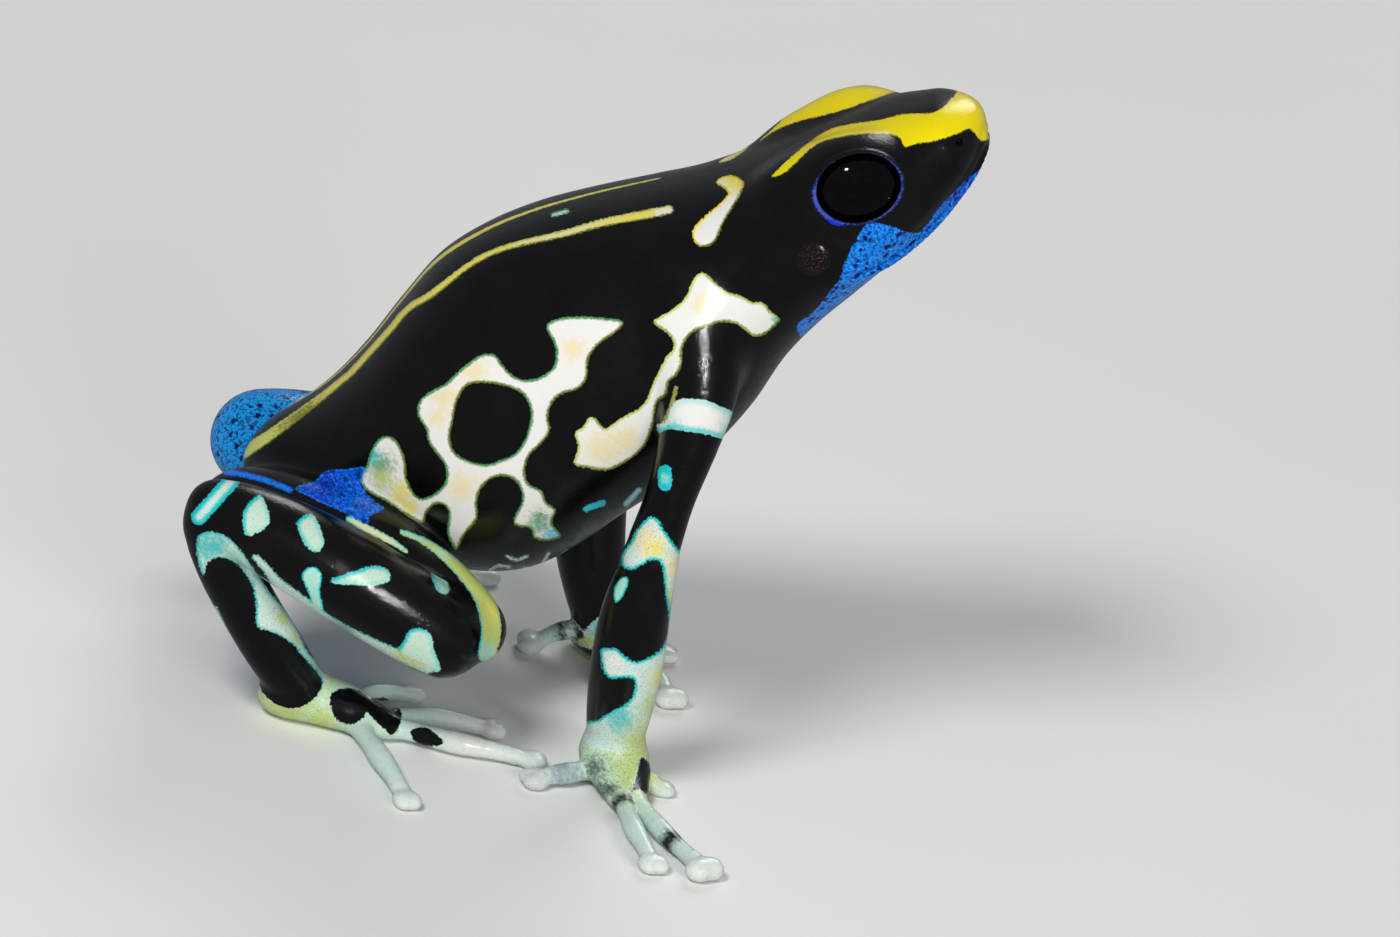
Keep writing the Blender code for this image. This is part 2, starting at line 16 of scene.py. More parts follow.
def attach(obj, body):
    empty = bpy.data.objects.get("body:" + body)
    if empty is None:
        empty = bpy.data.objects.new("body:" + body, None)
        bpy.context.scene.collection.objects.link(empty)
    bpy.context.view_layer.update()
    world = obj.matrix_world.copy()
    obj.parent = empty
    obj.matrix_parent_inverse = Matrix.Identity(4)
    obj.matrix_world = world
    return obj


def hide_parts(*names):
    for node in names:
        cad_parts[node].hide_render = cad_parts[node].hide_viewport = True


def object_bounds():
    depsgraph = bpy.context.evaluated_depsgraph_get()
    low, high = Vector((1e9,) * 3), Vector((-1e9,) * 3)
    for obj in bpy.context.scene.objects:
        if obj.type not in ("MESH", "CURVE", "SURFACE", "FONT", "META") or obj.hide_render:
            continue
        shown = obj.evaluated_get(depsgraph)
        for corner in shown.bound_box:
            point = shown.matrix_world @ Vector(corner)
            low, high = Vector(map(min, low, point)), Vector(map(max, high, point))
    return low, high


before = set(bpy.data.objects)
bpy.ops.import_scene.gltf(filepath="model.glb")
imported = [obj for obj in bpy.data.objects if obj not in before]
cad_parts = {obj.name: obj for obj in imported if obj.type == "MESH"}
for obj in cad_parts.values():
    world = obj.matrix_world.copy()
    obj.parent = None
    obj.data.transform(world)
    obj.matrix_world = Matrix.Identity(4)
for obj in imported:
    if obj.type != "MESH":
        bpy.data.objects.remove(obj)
CAD_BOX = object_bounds()

MM = 0.001
VENT = np.array([-16.7, 0.0, 10.9])
BODY_PITCH = math.radians(37.7)
AXIS_S = np.array([math.cos(BODY_PITCH), 0.0, math.sin(BODY_PITCH)])
AXIS_Y = np.array([0.0, 1.0, 0.0])
AXIS_N = np.array([-math.sin(BODY_PITCH), 0.0, math.cos(BODY_PITCH)])
SIDEWAYS = np.array([0.0, 1.0, 0.2])
UPRIGHT = np.array([0.0, 0.0, 1.0])
HEAD_START = 32.0

# Small numbers that keep a division or a logarithm from failing
TINY = 1e-9
SLIGHT = 1e-6
FAINT = 1e-30

# The photograph's camera, and how large it sees the frog
PHOTO_SIZE = (1400, 937)
CAMERA_TURN = math.radians(-2)
CAMERA_HEIGHT = math.radians(23)
CAMERA_ROLL = math.radians(12)
CAMERA_DISTANCE = 380.0
MM_PER_PIXEL = 0.0544
LOOKS_AT = np.array([7.96, 0.0, 15.55])
SENSOR = 36.0

# Body stations: s, half width, level of the widest line, crown, underside,
# squareness above the widest line and below it (2 is an ellipse)
STATIONS = np.array([
    (0.5, 2.2, -1.2, 0.3, -2.8, 2.0, 2.0), (3.0, 4.2, -2.0, 1.2, -5.4, 2.1, 2.0),
    (6.0, 5.7, -3.0, 1.6, -8.6, 2.2, 2.0), (9.0, 6.8, -3.8, 2.7, -11.0, 2.3, 2.0),
    (12.0, 7.5, -3.9, 4.2, -12.1, 2.3, 2.1), (15.0, 7.9, -3.7, 5.5, -12.0, 2.3, 2.1),
    (18.0, 8.0, -3.4, 5.9, -11.4, 2.3, 2.1), (21.0, 7.9, -3.1, 5.75, -10.9, 2.3, 2.1),
    (24.0, 7.6, -2.8, 5.2, -10.1, 2.3, 2.0), (27.0, 7.1, -2.3, 4.5, -8.8, 2.3, 2.0),
    (30.0, 6.6, -1.7, 3.8, -7.0, 2.3, 2.0), (32.2, 6.5, -1.4, 3.5, -6.1, 2.4, 2.0),
    (35.0, 6.8, -1.3, 3.4, -5.15, 2.4, 2.1), (38.0, 6.4, -1.2, 3.3, -4.2, 2.3, 2.2),
    (41.0, 5.0, -0.6, 2.9, -3.2, 2.5, 2.3), (43.0, 3.7, 0.0, 2.4, -2.2, 2.6, 2.3),
    (44.3, 2.5, 0.3, 1.8, -1.2, 2.4, 2.2), (45.0, 1.2, 0.5, 1.2, -0.3, 2.0, 2.0),
])

# Where the snout and the tail begin to round off and where they end, and how many rows the
# fine table of sections has
SNOUT_ROUND = (43.0, 45.2)
TAIL_ROUND = (3.0, -0.2)
SECTION_ROWS = 400

EYE_S, EYE_N, EYE_Y = 38.0, 0.75, 3.9
EYE_SIZE = np.array([2.9, 2.45, 2.42])
SOCKET_ROOM = 0.02
EYE_LOOKS_UP = math.radians(18)
EYE_LOOKS_FORWARD = math.radians(12)
LID_DOME = np.array([3.2, 2.8, 2.65])
EYE_OPENING = np.array([2.25, 1.78])
LID_TURN = math.radians(-9)
BROW_S, BROW_N, BROW_Y = 36.3, 1.55, 3.4
BROW_SIZE = np.array([3.8, 2.1, 2.15])
EAR_S, EAR_N = 34.7, -0.85
EAR_RADIUS = 0.85
NOSTRIL_S, NOSTRIL_N = 43.8, 0.45
NOSTRIL_SIZE = np.array([0.22, 0.5, 0.15])
MOUTH_FRONT = (44.62, -0.72)
MOUTH_SIDE = [(43.6, -1.45), (41.8, -2.3), (40.0, -2.8), (38.0, -3.0), (36.0, -2.7)]

# Limbs: x, y, z and radius of each knot from root to end
LIMBS = {
    "upper_arm_right": [
        (4.6, -3.5, 27.4, 3.0), (6.0, -5.2, 25.2, 2.8), (6.7, -6.7, 22.9, 2.25), (6.8, -7.8, 20.4, 1.7),
        (6.4, -8.6, 17.0, 1.4), (6.0, -9.0, 13.8, 1.55),
    ],
    "forearm_right": [
        (6.1, -9.0, 13.4, 1.5), (5.9, -9.0, 11.0, 1.8), (6.0, -8.6, 7.1, 1.95), (6.1, -8.1, 4.5, 1.8),
        (6.2, -7.6, 2.5, 1.6),
    ],
    "upper_arm_left": [
        (4.6, 3.5, 27.4, 3.0), (5.9, 5.2, 25.2, 2.8), (6.3, 6.9, 22.9, 2.25), (5.6, 8.1, 20.0, 1.65),
        (4.2, 8.8, 16.2, 1.38), (2.8, 8.9, 13.1, 1.5),
    ],
    "forearm_left": [
        (2.6, 8.9, 12.7, 1.5), (2.6, 8.6, 10.4, 1.85), (3.0, 7.8, 6.8, 2.0), (3.7, 7.4, 4.4, 1.75),
        (4.4, 7.3, 2.4, 1.5),
    ],
    "thigh_right": [
        (-15.7, -5.4, 9.8, 2.9), (-12.5, -6.2, 10.1, 3.0), (-8.2, -6.9, 9.7, 2.7), (-4.6, -8.0, 8.6, 2.2),
        (-2.5, -8.8, 7.5, 2.0),
    ],
    "shank_right": [
        (-17.1, -10.3, 12.2, 1.75), (-15.0, -10.6, 11.8, 2.1), (-12.1, -10.8, 11.0, 2.4),
        (-7.5, -11.0, 9.3, 2.5), (-3.9, -10.8, 7.6, 2.3),
    ],
    "tarsus_right": [
        (-17.2, -10.2, 11.0, 1.55), (-15.9, -9.9, 8.7, 1.6), (-14.3, -9.4, 6.3, 1.6),
        (-12.6, -8.9, 4.0, 1.6), (-11.3, -8.4, 2.3, 1.5),
    ],
    "thigh_left": [
        (-16.0, 5.7, 9.7, 2.95), (-12.5, 6.6, 9.6, 3.0), (-8.0, 7.8, 9.0, 2.8), (-4.0, 9.1, 8.2, 2.2),
        (-1.6, 9.9, 7.6, 1.9),
    ],
    "shank_left": [
        (-16.6, 12.2, 6.3, 1.7), (-14.0, 12.4, 6.4, 2.1), (-11.0, 12.5, 6.6, 2.35), (-6.0, 12.2, 6.9, 2.4),
        (-2.4, 11.6, 7.2, 2.1),
    ],
    "tarsus_left": [
        (-16.4, 11.8, 4.9, 1.55), (-14.6, 10.3, 4.2, 1.6), (-12.6, 8.7, 3.3, 1.55), (-10.8, 7.2, 2.4, 1.4),
        (-9.6, 6.3, 1.7, 1.25),
    ],
}

# Palms and soles: x, y, half width, half height of each knot, resting on the floor
PALMS = {
    "hand_right": [
        (6.1, -5.9, 1.5, 1.0), (6.4, -7.9, 1.95, 1.25), (7.0, -9.9, 1.6, 0.9), (7.5, -11.6, 1.15, 0.65),
    ],
    "hand_left": [
        (4.0, 8.4, 1.2, 0.9), (5.0, 7.2, 1.7, 1.15), (6.4, 6.2, 1.5, 0.85), (7.4, 5.4, 1.1, 0.62),
    ],
    "foot_right": [
        (-12.2, -7.9, 1.3, 1.1), (-10.4, -7.9, 1.5, 1.35), (-8.2, -8.1, 1.45, 1.2),
        (-6.0, -8.3, 1.25, 0.75),
    ],
    "foot_left": [
        (-9.9, 5.6, 1.2, 1.0), (-8.9, 7.4, 1.35, 1.1), (-7.6, 9.5, 1.35, 0.95), (-6.4, 11.7, 1.2, 0.62),
    ],
}

# Digits: where each leaves its palm or sole, its middle joint and its tip, as x and y,
# then the radius of the shaft and the half width of the disc
DIGITS = {
    "finger_1_right": ((6.8, -8.4), (8.2, -8.7), (9.6, -8.6), 0.55, 0.68),
    "finger_3_right": ((7.7, -11.1), (9.5, -14.5), (12.2, -18.1), 0.58, 1.12),
    "finger_2_right": ((7.0, -11.3), (8.0, -14.9), (9.4, -18.4), 0.57, 0.85),
    "finger_4_right": ((5.4, -8.6), (3.9, -9.9), (2.0, -10.9), 0.6, 0.85),
    "finger_1_left": ((4.6, 6.9), (2.7, 6.6), (0.5, 6.3), 0.55, 1.0),
    "finger_3_left": ((7.1, 5.6), (8.4, 4.2), (9.3, 2.3), 0.55, 1.0),
    "finger_2_left": ((6.0, 5.7), (5.8, 4.2), (5.4, 2.7), 0.53, 0.78),
    "finger_4_left": ((5.6, 7.3), (6.9, 8.2), (8.9, 8.7), 0.53, 0.78),
    "toe_5_right": ((-7.6, -8.9), (-6.0, -12.4), (-4.0, -16.5), 0.64, 0.78),
    "toe_4_right": ((-6.0, -8.3), (-2.2, -8.8), (2.5, -8.4), 0.62, 0.8),
    "toe_3_right": ((-6.6, -7.5), (-3.6, -6.2), (0.0, -5.5), 0.6, 0.85),
    "toe_2_right": ((-8.8, -7.3), (-7.1, -4.5), (-4.7, -2.7), 0.55, 0.72),
    "toe_1_right": ((-10.8, -7.1), (-10.3, -5.2), (-9.2, -4.0), 0.52, 0.64),
    "toe_5_left": ((-8.1, 9.8), (-9.6, 12.4), (-10.4, 15.4), 0.6, 0.78),
    "toe_4_left": ((-6.3, 11.9), (-4.7, 14.9), (-3.2, 18.2), 0.6, 0.8),
    "toe_3_left": ((-6.3, 10.9), (-4.1, 12.6), (-1.9, 14.5), 0.58, 0.82),
    "toe_2_left": ((-7.2, 8.9), (-5.4, 9.6), (-3.6, 10.7), 0.55, 0.72),
    "toe_1_left": ((-8.3, 6.9), (-7.0, 6.9), (-5.8, 7.3), 0.52, 0.64),
}

# How far above the floor a digit leaves its palm, where it doesn't lie flat, and which share
# of that its middle joint and its neck keep
RISES = {"finger_1_left": 1.1}
MIDDLE_RISE, NECK_RISE = 0.8, 0.4

# A digit's radius between its joints, at its middle joint and at its neck, as shares of the
# radius at its root, and how much the neck widens at the disc
THIN, KNUCKLE, NECK, NECK_END = 0.86, 0.98, 0.8, 1.05

# Where a digit is thinnest between two joints, as a share, and how far its neck hangs there
THIN_AT = 0.45
NECK_DROP = 0.1

# How far behind a digit's tip the shaft ends and the lobes of its disc have their middle, and
# half the lobes' length, then how far out they lie and half their width, as shares of the disc
SHAFT_END, LOBE_BACK, LOBE_LENGTH = 0.75, 0.35, 0.72
LOBE_OUT, LOBE_WIDTH = 0.36, 0.64
DISC_FLATNESS = 0.55

# How deep palms, soles and digits sink into the floor, and how high a digit arches over it
FLAT_DEPTH = 0.07
ARCH = 0.15

# Rows of a limb's tube, a digit's and the mouth's, points along the mouth's line, and how far
# a tube's segments melt into each other: at most, and as a share of its thinnest place
TUBE_ROWS, DIGIT_ROWS, MOUTH_ROWS = 18, 12, 60
MOUTH_POINTS = 28
MOST_SOFT, SOFT_SHARE = 0.16, 0.3

# How softly each form of the head, and a disc's lobe, joins the rest
UPPER_LIP_BLEND, LOWER_LIP_BLEND, BROW_BLEND, DOME_BLEND = 0.35, 0.3, 1.4, 0.7
OPENING_BLEND, RIM_BLEND, EAR_BLEND, NOSTRIL_BLEND, MOUTH_BLEND = 0.12, 0.1, 0.16, 0.15, 0.14
LOBE_BLEND = 0.3
LID_RIM_RADIUS = 0.13
EAR_GROOVE_RADIUS = 0.1

# How far the skin spans each joint: at the joint, elsewhere, and how far the joint reaches
WEBS = {
    "upper_arm": (1.8, 0.4, 5.0),
    "forearm": (0.9, 0.3, 2.5),
    "hand": (1.7, 0.3, 4.5),
    "finger": (0.55, 0.1, 1.3),
    "thigh": (1.6, 0.5, 7.0),
    "shank": (2.0, 0.15, 3.2),
    "tarsus": (1.3, 0.15, 2.6),
    "foot": (1.5, 0.4, 3.0),
    "toe": (0.55, 0.1, 1.3),
}

# The grid's step, and how many steps a coarse block has. A block may hold some of the skin
# when its middle is nearer than a share of the block and a little more
STEP = 0.15
COARSE = 4
BLOCK_SHARE, BLOCK_ROOM = 1.15, 0.15

# How far apart the distance is measured for its slope, and the least square of a slope
SLOPE_ROOM = 0.02
LEAST_SLOPE = 0.3

# Where the head's finer faces start, how far its forms reach from the trunk, the room around
# a piece within which it counts, and a distance beyond them all
FINE_START = HEAD_START + 1.5
HEAD_REACH = 4.0
EDGE_ROOM = 1.2
FAR = 9.0


def unit(vector):
    return vector / np.linalg.norm(vector)


def body_point(s, y, n):
    """The place in the frog's frame of a point given along the body."""
    return VENT + AXIS_S * s + AXIS_N * n + AXIS_Y * y


def between(rows, knots, at):
    """Smooth values at the places `at` through rows given at the knots."""
    rows = np.asarray(rows, float)
    knots = np.asarray(knots, float)
    slopes = np.gradient(rows, knots, axis=0)
    i = np.clip(np.searchsorted(knots, at, side="right") - 1, 0, len(knots) - 2)
    step = (knots[i + 1] - knots[i])[:, None]
    t = (at - knots[i])[:, None] / step
    start = (2 * t**3 - 3 * t**2 + 1) * rows[i] + (t**3 - 2 * t**2 + t) * slopes[i] * step
    end = (3 * t**2 - 2 * t**3) * rows[i + 1] + (t**3 - t**2) * slopes[i + 1] * step
    return start + end


def along(rows, count):
    """`count` rows spread evenly along the smooth curve through the given rows."""
    rows = np.asarray(rows, float)
    steps = np.linalg.norm(np.diff(rows[:, :3], axis=0), axis=1)
    knots = np.concatenate([[0.0], np.cumsum(steps)])
    return between(rows, knots, np.linspace(0.0, knots[-1], count))


def roundness(s):
    """0 along the body, rising to 1 at the tips of the snout and the tail."""
    snout = (s - SNOUT_ROUND[0]) / (SNOUT_ROUND[1] - SNOUT_ROUND[0])
    tail = (TAIL_ROUND[0] - s) / (TAIL_ROUND[0] - TAIL_ROUND[1])
    return np.maximum(np.maximum(snout, tail), 0.0)


def full_sections():
    """A fine table of the body's sections, as they would be without the round ends."""
    rows = STATIONS.copy()
    share = np.sqrt(1 - roundness(rows[:, 0]) ** 2)
    level = rows[:, 2].copy()
    rows[:, 1] /= share
    rows[:, 3] = (rows[:, 3] - level) / share
    rows[:, 4] = (level - rows[:, 4]) / share
    at = np.linspace(rows[0, 0], rows[-1, 0], SECTION_ROWS)
    return at, between(rows[:, 1:], rows[:, 0], at)


SECTION_S, SECTIONS = full_sections()


def section(s):
    """Half width, level, height above and below it, and both squarenesses, at each s."""
    return [np.interp(s, SECTION_S, SECTIONS[:, k]) for k in range(6)]


def skin_y(s, n):
    """Half width of the body at s and height n."""
    wide, level, above, below, square_up, square_down = section(s)
    power = np.where(n >= level, square_up, square_down)
    high = np.abs(n - level) / np.where(n >= level, above, below)
    left = np.maximum((1 - roundness(s) ** 2) ** (power / 2) - high**power, 0.0)
    return wide * left ** (1 / power)


def flank_point(side, s, n):
    """The place on one side of the body at s and height n."""
    return body_point(s, side * skin_y(s, n), n)


def skin_n(s, y):
    """Height of the back at s and y."""
    wide, level, above, _, square, _ = section(s)
    left = np.maximum((1 - roundness(s) ** 2) ** (square / 2) - (np.abs(y) / wide) ** square, 0.0)
    return level + above * left ** (1 / square)


def smooth_min(a, b, reach):
    """The smaller of two distances, with the crease between them rounded."""
    share = np.maximum(reach - np.abs(a - b), 0.0) / reach
    return np.minimum(a, b) - share**2 * reach / 4


def smooth_max(a, b, reach):
    return -smooth_min(-a, -b, reach)


def body_distance(p):
    """Distance from the trunk's plain form, below zero inside it."""
    q = p - VENT
    s = q @ AXIS_S
    n = q @ AXIS_N
    wide, level, above, below, square_up, square_down = section(s)
    high = np.where(n >= level, above, below)
    power = np.where(n >= level, square_up, square_down)
    a = np.abs(q[:, 1]) / wide + SLIGHT
    b = np.abs(n - level) / high + SLIGHT
    out = (a**power + b**power) ** (1 / power)
    slope = ((a / out) ** (power - 1) / wide) ** 2 + ((b / out) ** (power - 1) / high) ** 2
    tip = roundness(s)
    length = np.where(s > HEAD_START, SNOUT_ROUND[1] - SNOUT_ROUND[0], TAIL_ROUND[0] - TAIL_ROUND[1])
    whole = np.sqrt(out**2 + tip**2)
    steep = np.sqrt((out / whole) ** 2 * slope + (tip / whole / length) ** 2)
    return (whole - 1) / steep


def oval_distance(parts, sizes):
    """Distance from an ellipse or ellipsoid, from each part of the offset and each half size."""
    whole = np.sqrt(sum((a / b) ** 2 for a, b in zip(parts, sizes))) + TINY
    steep = np.sqrt(sum((a / b**2) ** 2 for a, b in zip(parts, sizes))) + TINY
    return whole * (whole - 1) / steep


def ellipsoid_distance(p, centre, size, axes):
    """Distance from an ellipsoid with half sizes along three directions."""
    return oval_distance(((p - centre) @ np.array(axes).T).T, size)


def beside(offset, edge):
    """Splits offsets from an edge's start: what lies beside the edge, and its share passed."""
    share = np.clip(offset @ edge / max(edge @ edge, TINY), 0, 1)
    return offset - share[:, None] * edge, share


class Tube:
    """A swept form through rows of x, y, z, half width and half height, with round ends."""

    def __init__(self, rows, hint, count=TUBE_ROWS):
        self.rows = along(rows, count)
        self.points = self.rows[:, :3]
        self.low = (self.points - self.rows[:, 3:].max()).min(0)
        self.high = (self.points + self.rows[:, 3:].max()).max(0)
        self.round = np.allclose(self.rows[:, 3], self.rows[:, 4])
        self.steps = np.diff(self.points, axis=0)
        lengths = np.linalg.norm(self.steps, axis=1)
        self.length = lengths.sum()
        self.tangents = self.steps / lengths[:, None]
        across = np.cross(self.tangents, hint)
        self.across = across / np.linalg.norm(across, axis=1)[:, None]
        self.lift = np.cross(self.across, self.tangents)
        self.soft = min(MOST_SOFT, self.rows[:, 3:].min() * SOFT_SHARE)
        self.swell = 0.0
        middle = count // 2
        top = self.points[middle] + self.lift[middle] * self.rows[middle, 4]
        self.swell = -self.distance(top[None])[0]

    def reach(self, p, i):
        """From segment i to each point: the offset, the share passed and both half sizes."""
        offset, share = beside(p - self.points[i], self.steps[i])
        start, step = self.rows[i], self.rows[i + 1] - self.rows[i]
        return offset, share, start[3] + share * step[3], start[4] + share * step[4]

    def turned(self, offset, i):
        """An offset's parts along, across and above segment i."""
        return [offset @ ways[i] for ways in (self.tangents, self.across, self.lift)]

    def distance(self, p):
        """Distance from the tube, smooth from one segment to the next."""
        total = np.full(len(p), FAINT)
        for i in range(len(self.steps)):
            offset, _, wide, high = self.reach(p, i)
            if self.round:
                near = np.sqrt((offset**2).sum(1)) - wide
            else:
                near = oval_distance(self.turned(offset, i), [(wide + high) / 2, wide, high])
            total += np.exp(-near / self.soft)
        return np.minimum(self.swell - self.soft * np.log(total), FAR)

    def place(self, p):
        """Each point's share of the length, and its offset along, across and up in radii."""
        best = np.full(len(p), np.inf)
        found = np.zeros((len(p), 4))
        for i in range(len(self.steps)):
            offset, share, wide, high = self.reach(p, i)
            size = (offset**2).sum(1)
            nearer = size < best
            best[nearer] = size[nearer]
            radii = [a / b for a, b in zip(self.turned(offset, i), (wide, wide, high))]
            found[nearer] = np.column_stack([(i + share) / len(self.steps), *radii])[nearer]
        return found

    def point(self, place):
        """The point on this tube that has a place found on another."""
        count = len(self.steps)
        spot = np.clip(place[:, 0] * count, 0, count - SLIGHT)
        i = spot.astype(int)
        share = (spot - i)[:, None]
        row = self.rows[i] * (1 - share) + self.rows[i + 1] * share
        point = row[:, :3]
        for k, (ways, size) in enumerate(((self.tangents, 3), (self.across, 3), (self.lift, 4)), 1):
            point = point + ways[i] * place[:, k : k + 1] * row[:, size : size + 1]
        return point


def digit_parts(name):
    """The shaft's tube, and the centre, half sizes and axes of the disc's two lobes."""
    root, middle, tip, radius, disc = DIGITS[name]
    root, middle, tip = (np.array(p) for p in (root, middle, tip))
    toward = unit(tip - middle)
    side = np.array([-toward[1], toward[0]])
    flat = disc * DISC_FLATNESS
    neck = radius * NECK
    rise = RISES.get(name, 0.0)
    high = radius + ARCH - FLAT_DEPTH
    thin = [a * (1 - THIN_AT) + b * THIN_AT for a, b in ((root, middle), (middle, tip))]
    rows = [
        (*root, high + rise, radius, radius),
        (*thin[0], high + rise, radius * THIN, radius * THIN),
        (*middle, high + rise * MIDDLE_RISE, radius * KNUCKLE, radius * KNUCKLE),
        (*thin[1], high + rise * NECK_RISE - NECK_DROP, neck, neck),
        (*(tip - toward * SHAFT_END), flat - FLAT_DEPTH, neck * NECK_END, flat),
    ]
    lobes = []
    for way in (-1, 1):
        centre = np.array([*(tip - toward * LOBE_BACK + side * way * disc * LOBE_OUT), flat - FLAT_DEPTH])
        axes = [np.array([*toward, 0.0]), np.array([*side, 0.0]), UPRIGHT]
        lobes.append((centre, np.array([LOBE_LENGTH, disc * LOBE_WIDTH, flat]), axes))
    return Tube(rows, UPRIGHT, DIGIT_ROWS), lobes


def family(name):
    """The kind of limb or digit that a node's name starts with."""
    return next(kind for kind in WEBS if name.startswith(kind))


def make_pieces():
    """Each limb, palm and digit by name, roots first: its tube, its lobes and its joint."""
    pieces = {}
    for side in ("right", "left"):
        for kind in ("upper_arm", "forearm", "hand", "thigh", "shank", "tarsus", "foot"):
            name = f"{kind}_{side}"
            if name in LIMBS:
                tube = Tube([(x, y, z, r, r) for x, y, z, r in LIMBS[name]], SIDEWAYS)
            else:
                tube = Tube([(x, y, h - FLAT_DEPTH, w, h) for x, y, w, h in PALMS[name]], UPRIGHT)
            pieces[name] = (tube, [], tube.points[-1] if kind == "shank" else tube.points[0])
        for name in DIGITS:
            if name.endswith(side):
                tube, lobes = digit_parts(name)
                pieces[name] = (tube, lobes, tube.points[0])
    return pieces


PIECES = make_pieces()
PIECE_NAMES = ["torso"] + list(PIECES)


def eye_axes(side):
    """Directions along the lids, up across them and out of the eye."""
    flat = math.cos(EYE_LOOKS_UP)
    outward = (
        AXIS_Y * side * flat * math.cos(EYE_LOOKS_FORWARD)
        + AXIS_S * flat * math.sin(EYE_LOOKS_FORWARD)
        + AXIS_N * math.sin(EYE_LOOKS_UP)
    )
    level = unit(AXIS_S - outward * (AXIS_S @ outward))
    over = np.cross(outward, level) * -side
    lengthwise = level * math.cos(LID_TURN) + over * math.sin(LID_TURN)
    return lengthwise, np.cross(outward, lengthwise) * -side, outward


def eye_centre(side):
    return body_point(EYE_S, side * EYE_Y, EYE_N)


def in_eye(p, side):
    """Points along the lids, up across them and out of the eye, from its middle."""
    return (p - eye_centre(side)) @ np.array(eye_axes(side)).T


def mouth_tube(rise, radius, share):
    """A tube along the mouth, lifted by `rise`, at a share of the body's width."""
    knots = np.array([*reversed(MOUTH_SIDE), MOUTH_FRONT])
    s, n = between(knots, np.arange(len(knots)), np.linspace(0, len(knots) - 1, MOUTH_POINTS)).T
    y = skin_y(s, n)
    y[-1] = 0.0
    right, left = (
        [body_point(s[k], way * y[k] * share, n[k] + rise) for k in range(len(s))] for way in (-1, 1)
    )
    return Tube([(*p, radius, radius) for p in right + left[-2::-1]], AXIS_N, MOUTH_ROWS)


# The groove of the mouth, and the lips above and below it
MOUTH = mouth_tube(0.0, 0.09, 1.0)
UPPER_LIP = mouth_tube(0.3, 0.3, 0.985)
LOWER_LIP = mouth_tube(-0.3, 0.2, 0.97)


def lid_distances(p, side):
    """Distances from the lids' dome, the opening, the socket and the rim of the lids."""
    local = in_eye(p, side).T
    flat = local[:2]
    dome = oval_distance(local, LID_DOME)
    edge = oval_distance(flat, EYE_OPENING)
    socket = oval_distance(local, EYE_SIZE + SOCKET_ROOM)
    reach = np.maximum(1 - ((flat.T / LID_DOME[:2]) ** 2).sum(1), 0.0)
    above = local[2] - LID_DOME[2] * np.sqrt(reach)
    rim = np.sqrt((edge - LID_RIM_RADIUS) ** 2 + above**2) - LID_RIM_RADIUS
    return dome, np.maximum(edge, -local[2]), socket, rim


def head_distance(p, distance):
    """Adds the brows, lids, lips, nostrils and ears to the trunk's distance."""
    body_axes = (AXIS_S, AXIS_Y, AXIS_N)
    distance = smooth_min(distance, UPPER_LIP.distance(p), UPPER_LIP_BLEND)
    distance = smooth_min(distance, LOWER_LIP.distance(p), LOWER_LIP_BLEND)
    for side in (-1, 1):
        brow = ellipsoid_distance(p, body_point(BROW_S, side * BROW_Y, BROW_N), BROW_SIZE, body_axes)
        distance = smooth_min(distance, brow, BROW_BLEND)
        dome, opening, socket, rim = lid_distances(p, side)
        distance = smooth_min(distance, dome, DOME_BLEND)
        distance = smooth_max(distance, -opening, OPENING_BLEND)
        distance = smooth_min(distance, rim, RIM_BLEND)
        distance = np.maximum(distance, -socket)
        x, y, z = (p - flank_point(side, EAR_S, EAR_N)).T
        groove = np.sqrt((np.sqrt(x**2 + z**2) - EAR_RADIUS) ** 2 + y**2) - EAR_GROOVE_RADIUS
        distance = smooth_max(distance, -groove, EAR_BLEND)
        nostril = flank_point(side, NOSTRIL_S, NOSTRIL_N)
        pit = ellipsoid_distance(p, nostril, NOSTRIL_SIZE, body_axes)
        distance = smooth_max(distance, -pit, NOSTRIL_BLEND)
    return smooth_max(distance, -MOUTH.distance(p), MOUTH_BLEND)


def inside_box(p, low, high, room):
    return np.nonzero(((p > low - room) & (p < high + room)).all(1))[0]


def frog_distance(p, parts=False):
    """Distance from the frog's skin, and which part each point is nearest, if asked."""
    distance = body_distance(p)
    part = np.zeros(len(p), int)
    nearest = distance.copy()
    head = np.nonzero(((p - VENT) @ AXIS_S > HEAD_START) & (distance < HEAD_REACH))[0]
    distance[head] = head_distance(p[head], distance[head])
    for number, (name, (tube, lobes, joint)) in enumerate(PIECES.items(), 1):
        here = inside_box(p, tube.low, tube.high, EDGE_ROOM)
        q = p[here]
        own = tube.distance(q)
        for centre, size, axes in lobes:
            own = smooth_min(own, ellipsoid_distance(q, centre, size, axes), LOBE_BLEND)
        at_joint, elsewhere, reach = WEBS[family(name)]
        close = np.exp(-((q - joint) ** 2).sum(1) / reach**2)
        web = elsewhere + (at_joint - elsewhere) * close
        distance[here] = smooth_min(distance[here], own, web)
        if parts:
            nearer = own < nearest[here]
            part[here[nearer]] = number
            nearest[here[nearer]] = own[nearer]
    distance = np.maximum(distance, -p[:, 2])
    return (distance, part) if parts else distance


def grid_corners(counts):
    """The whole-number corners of a grid, a row each."""
    return np.stack(np.meshgrid(*[np.arange(c) for c in counts], indexing="ij"), -1).reshape(-1, 3)


def in_chunks(function, p, size=400000):
    """Runs a function of points in pieces, to save memory."""
    return np.concatenate([function(p[k : k + size]) for k in range(0, len(p), size)])


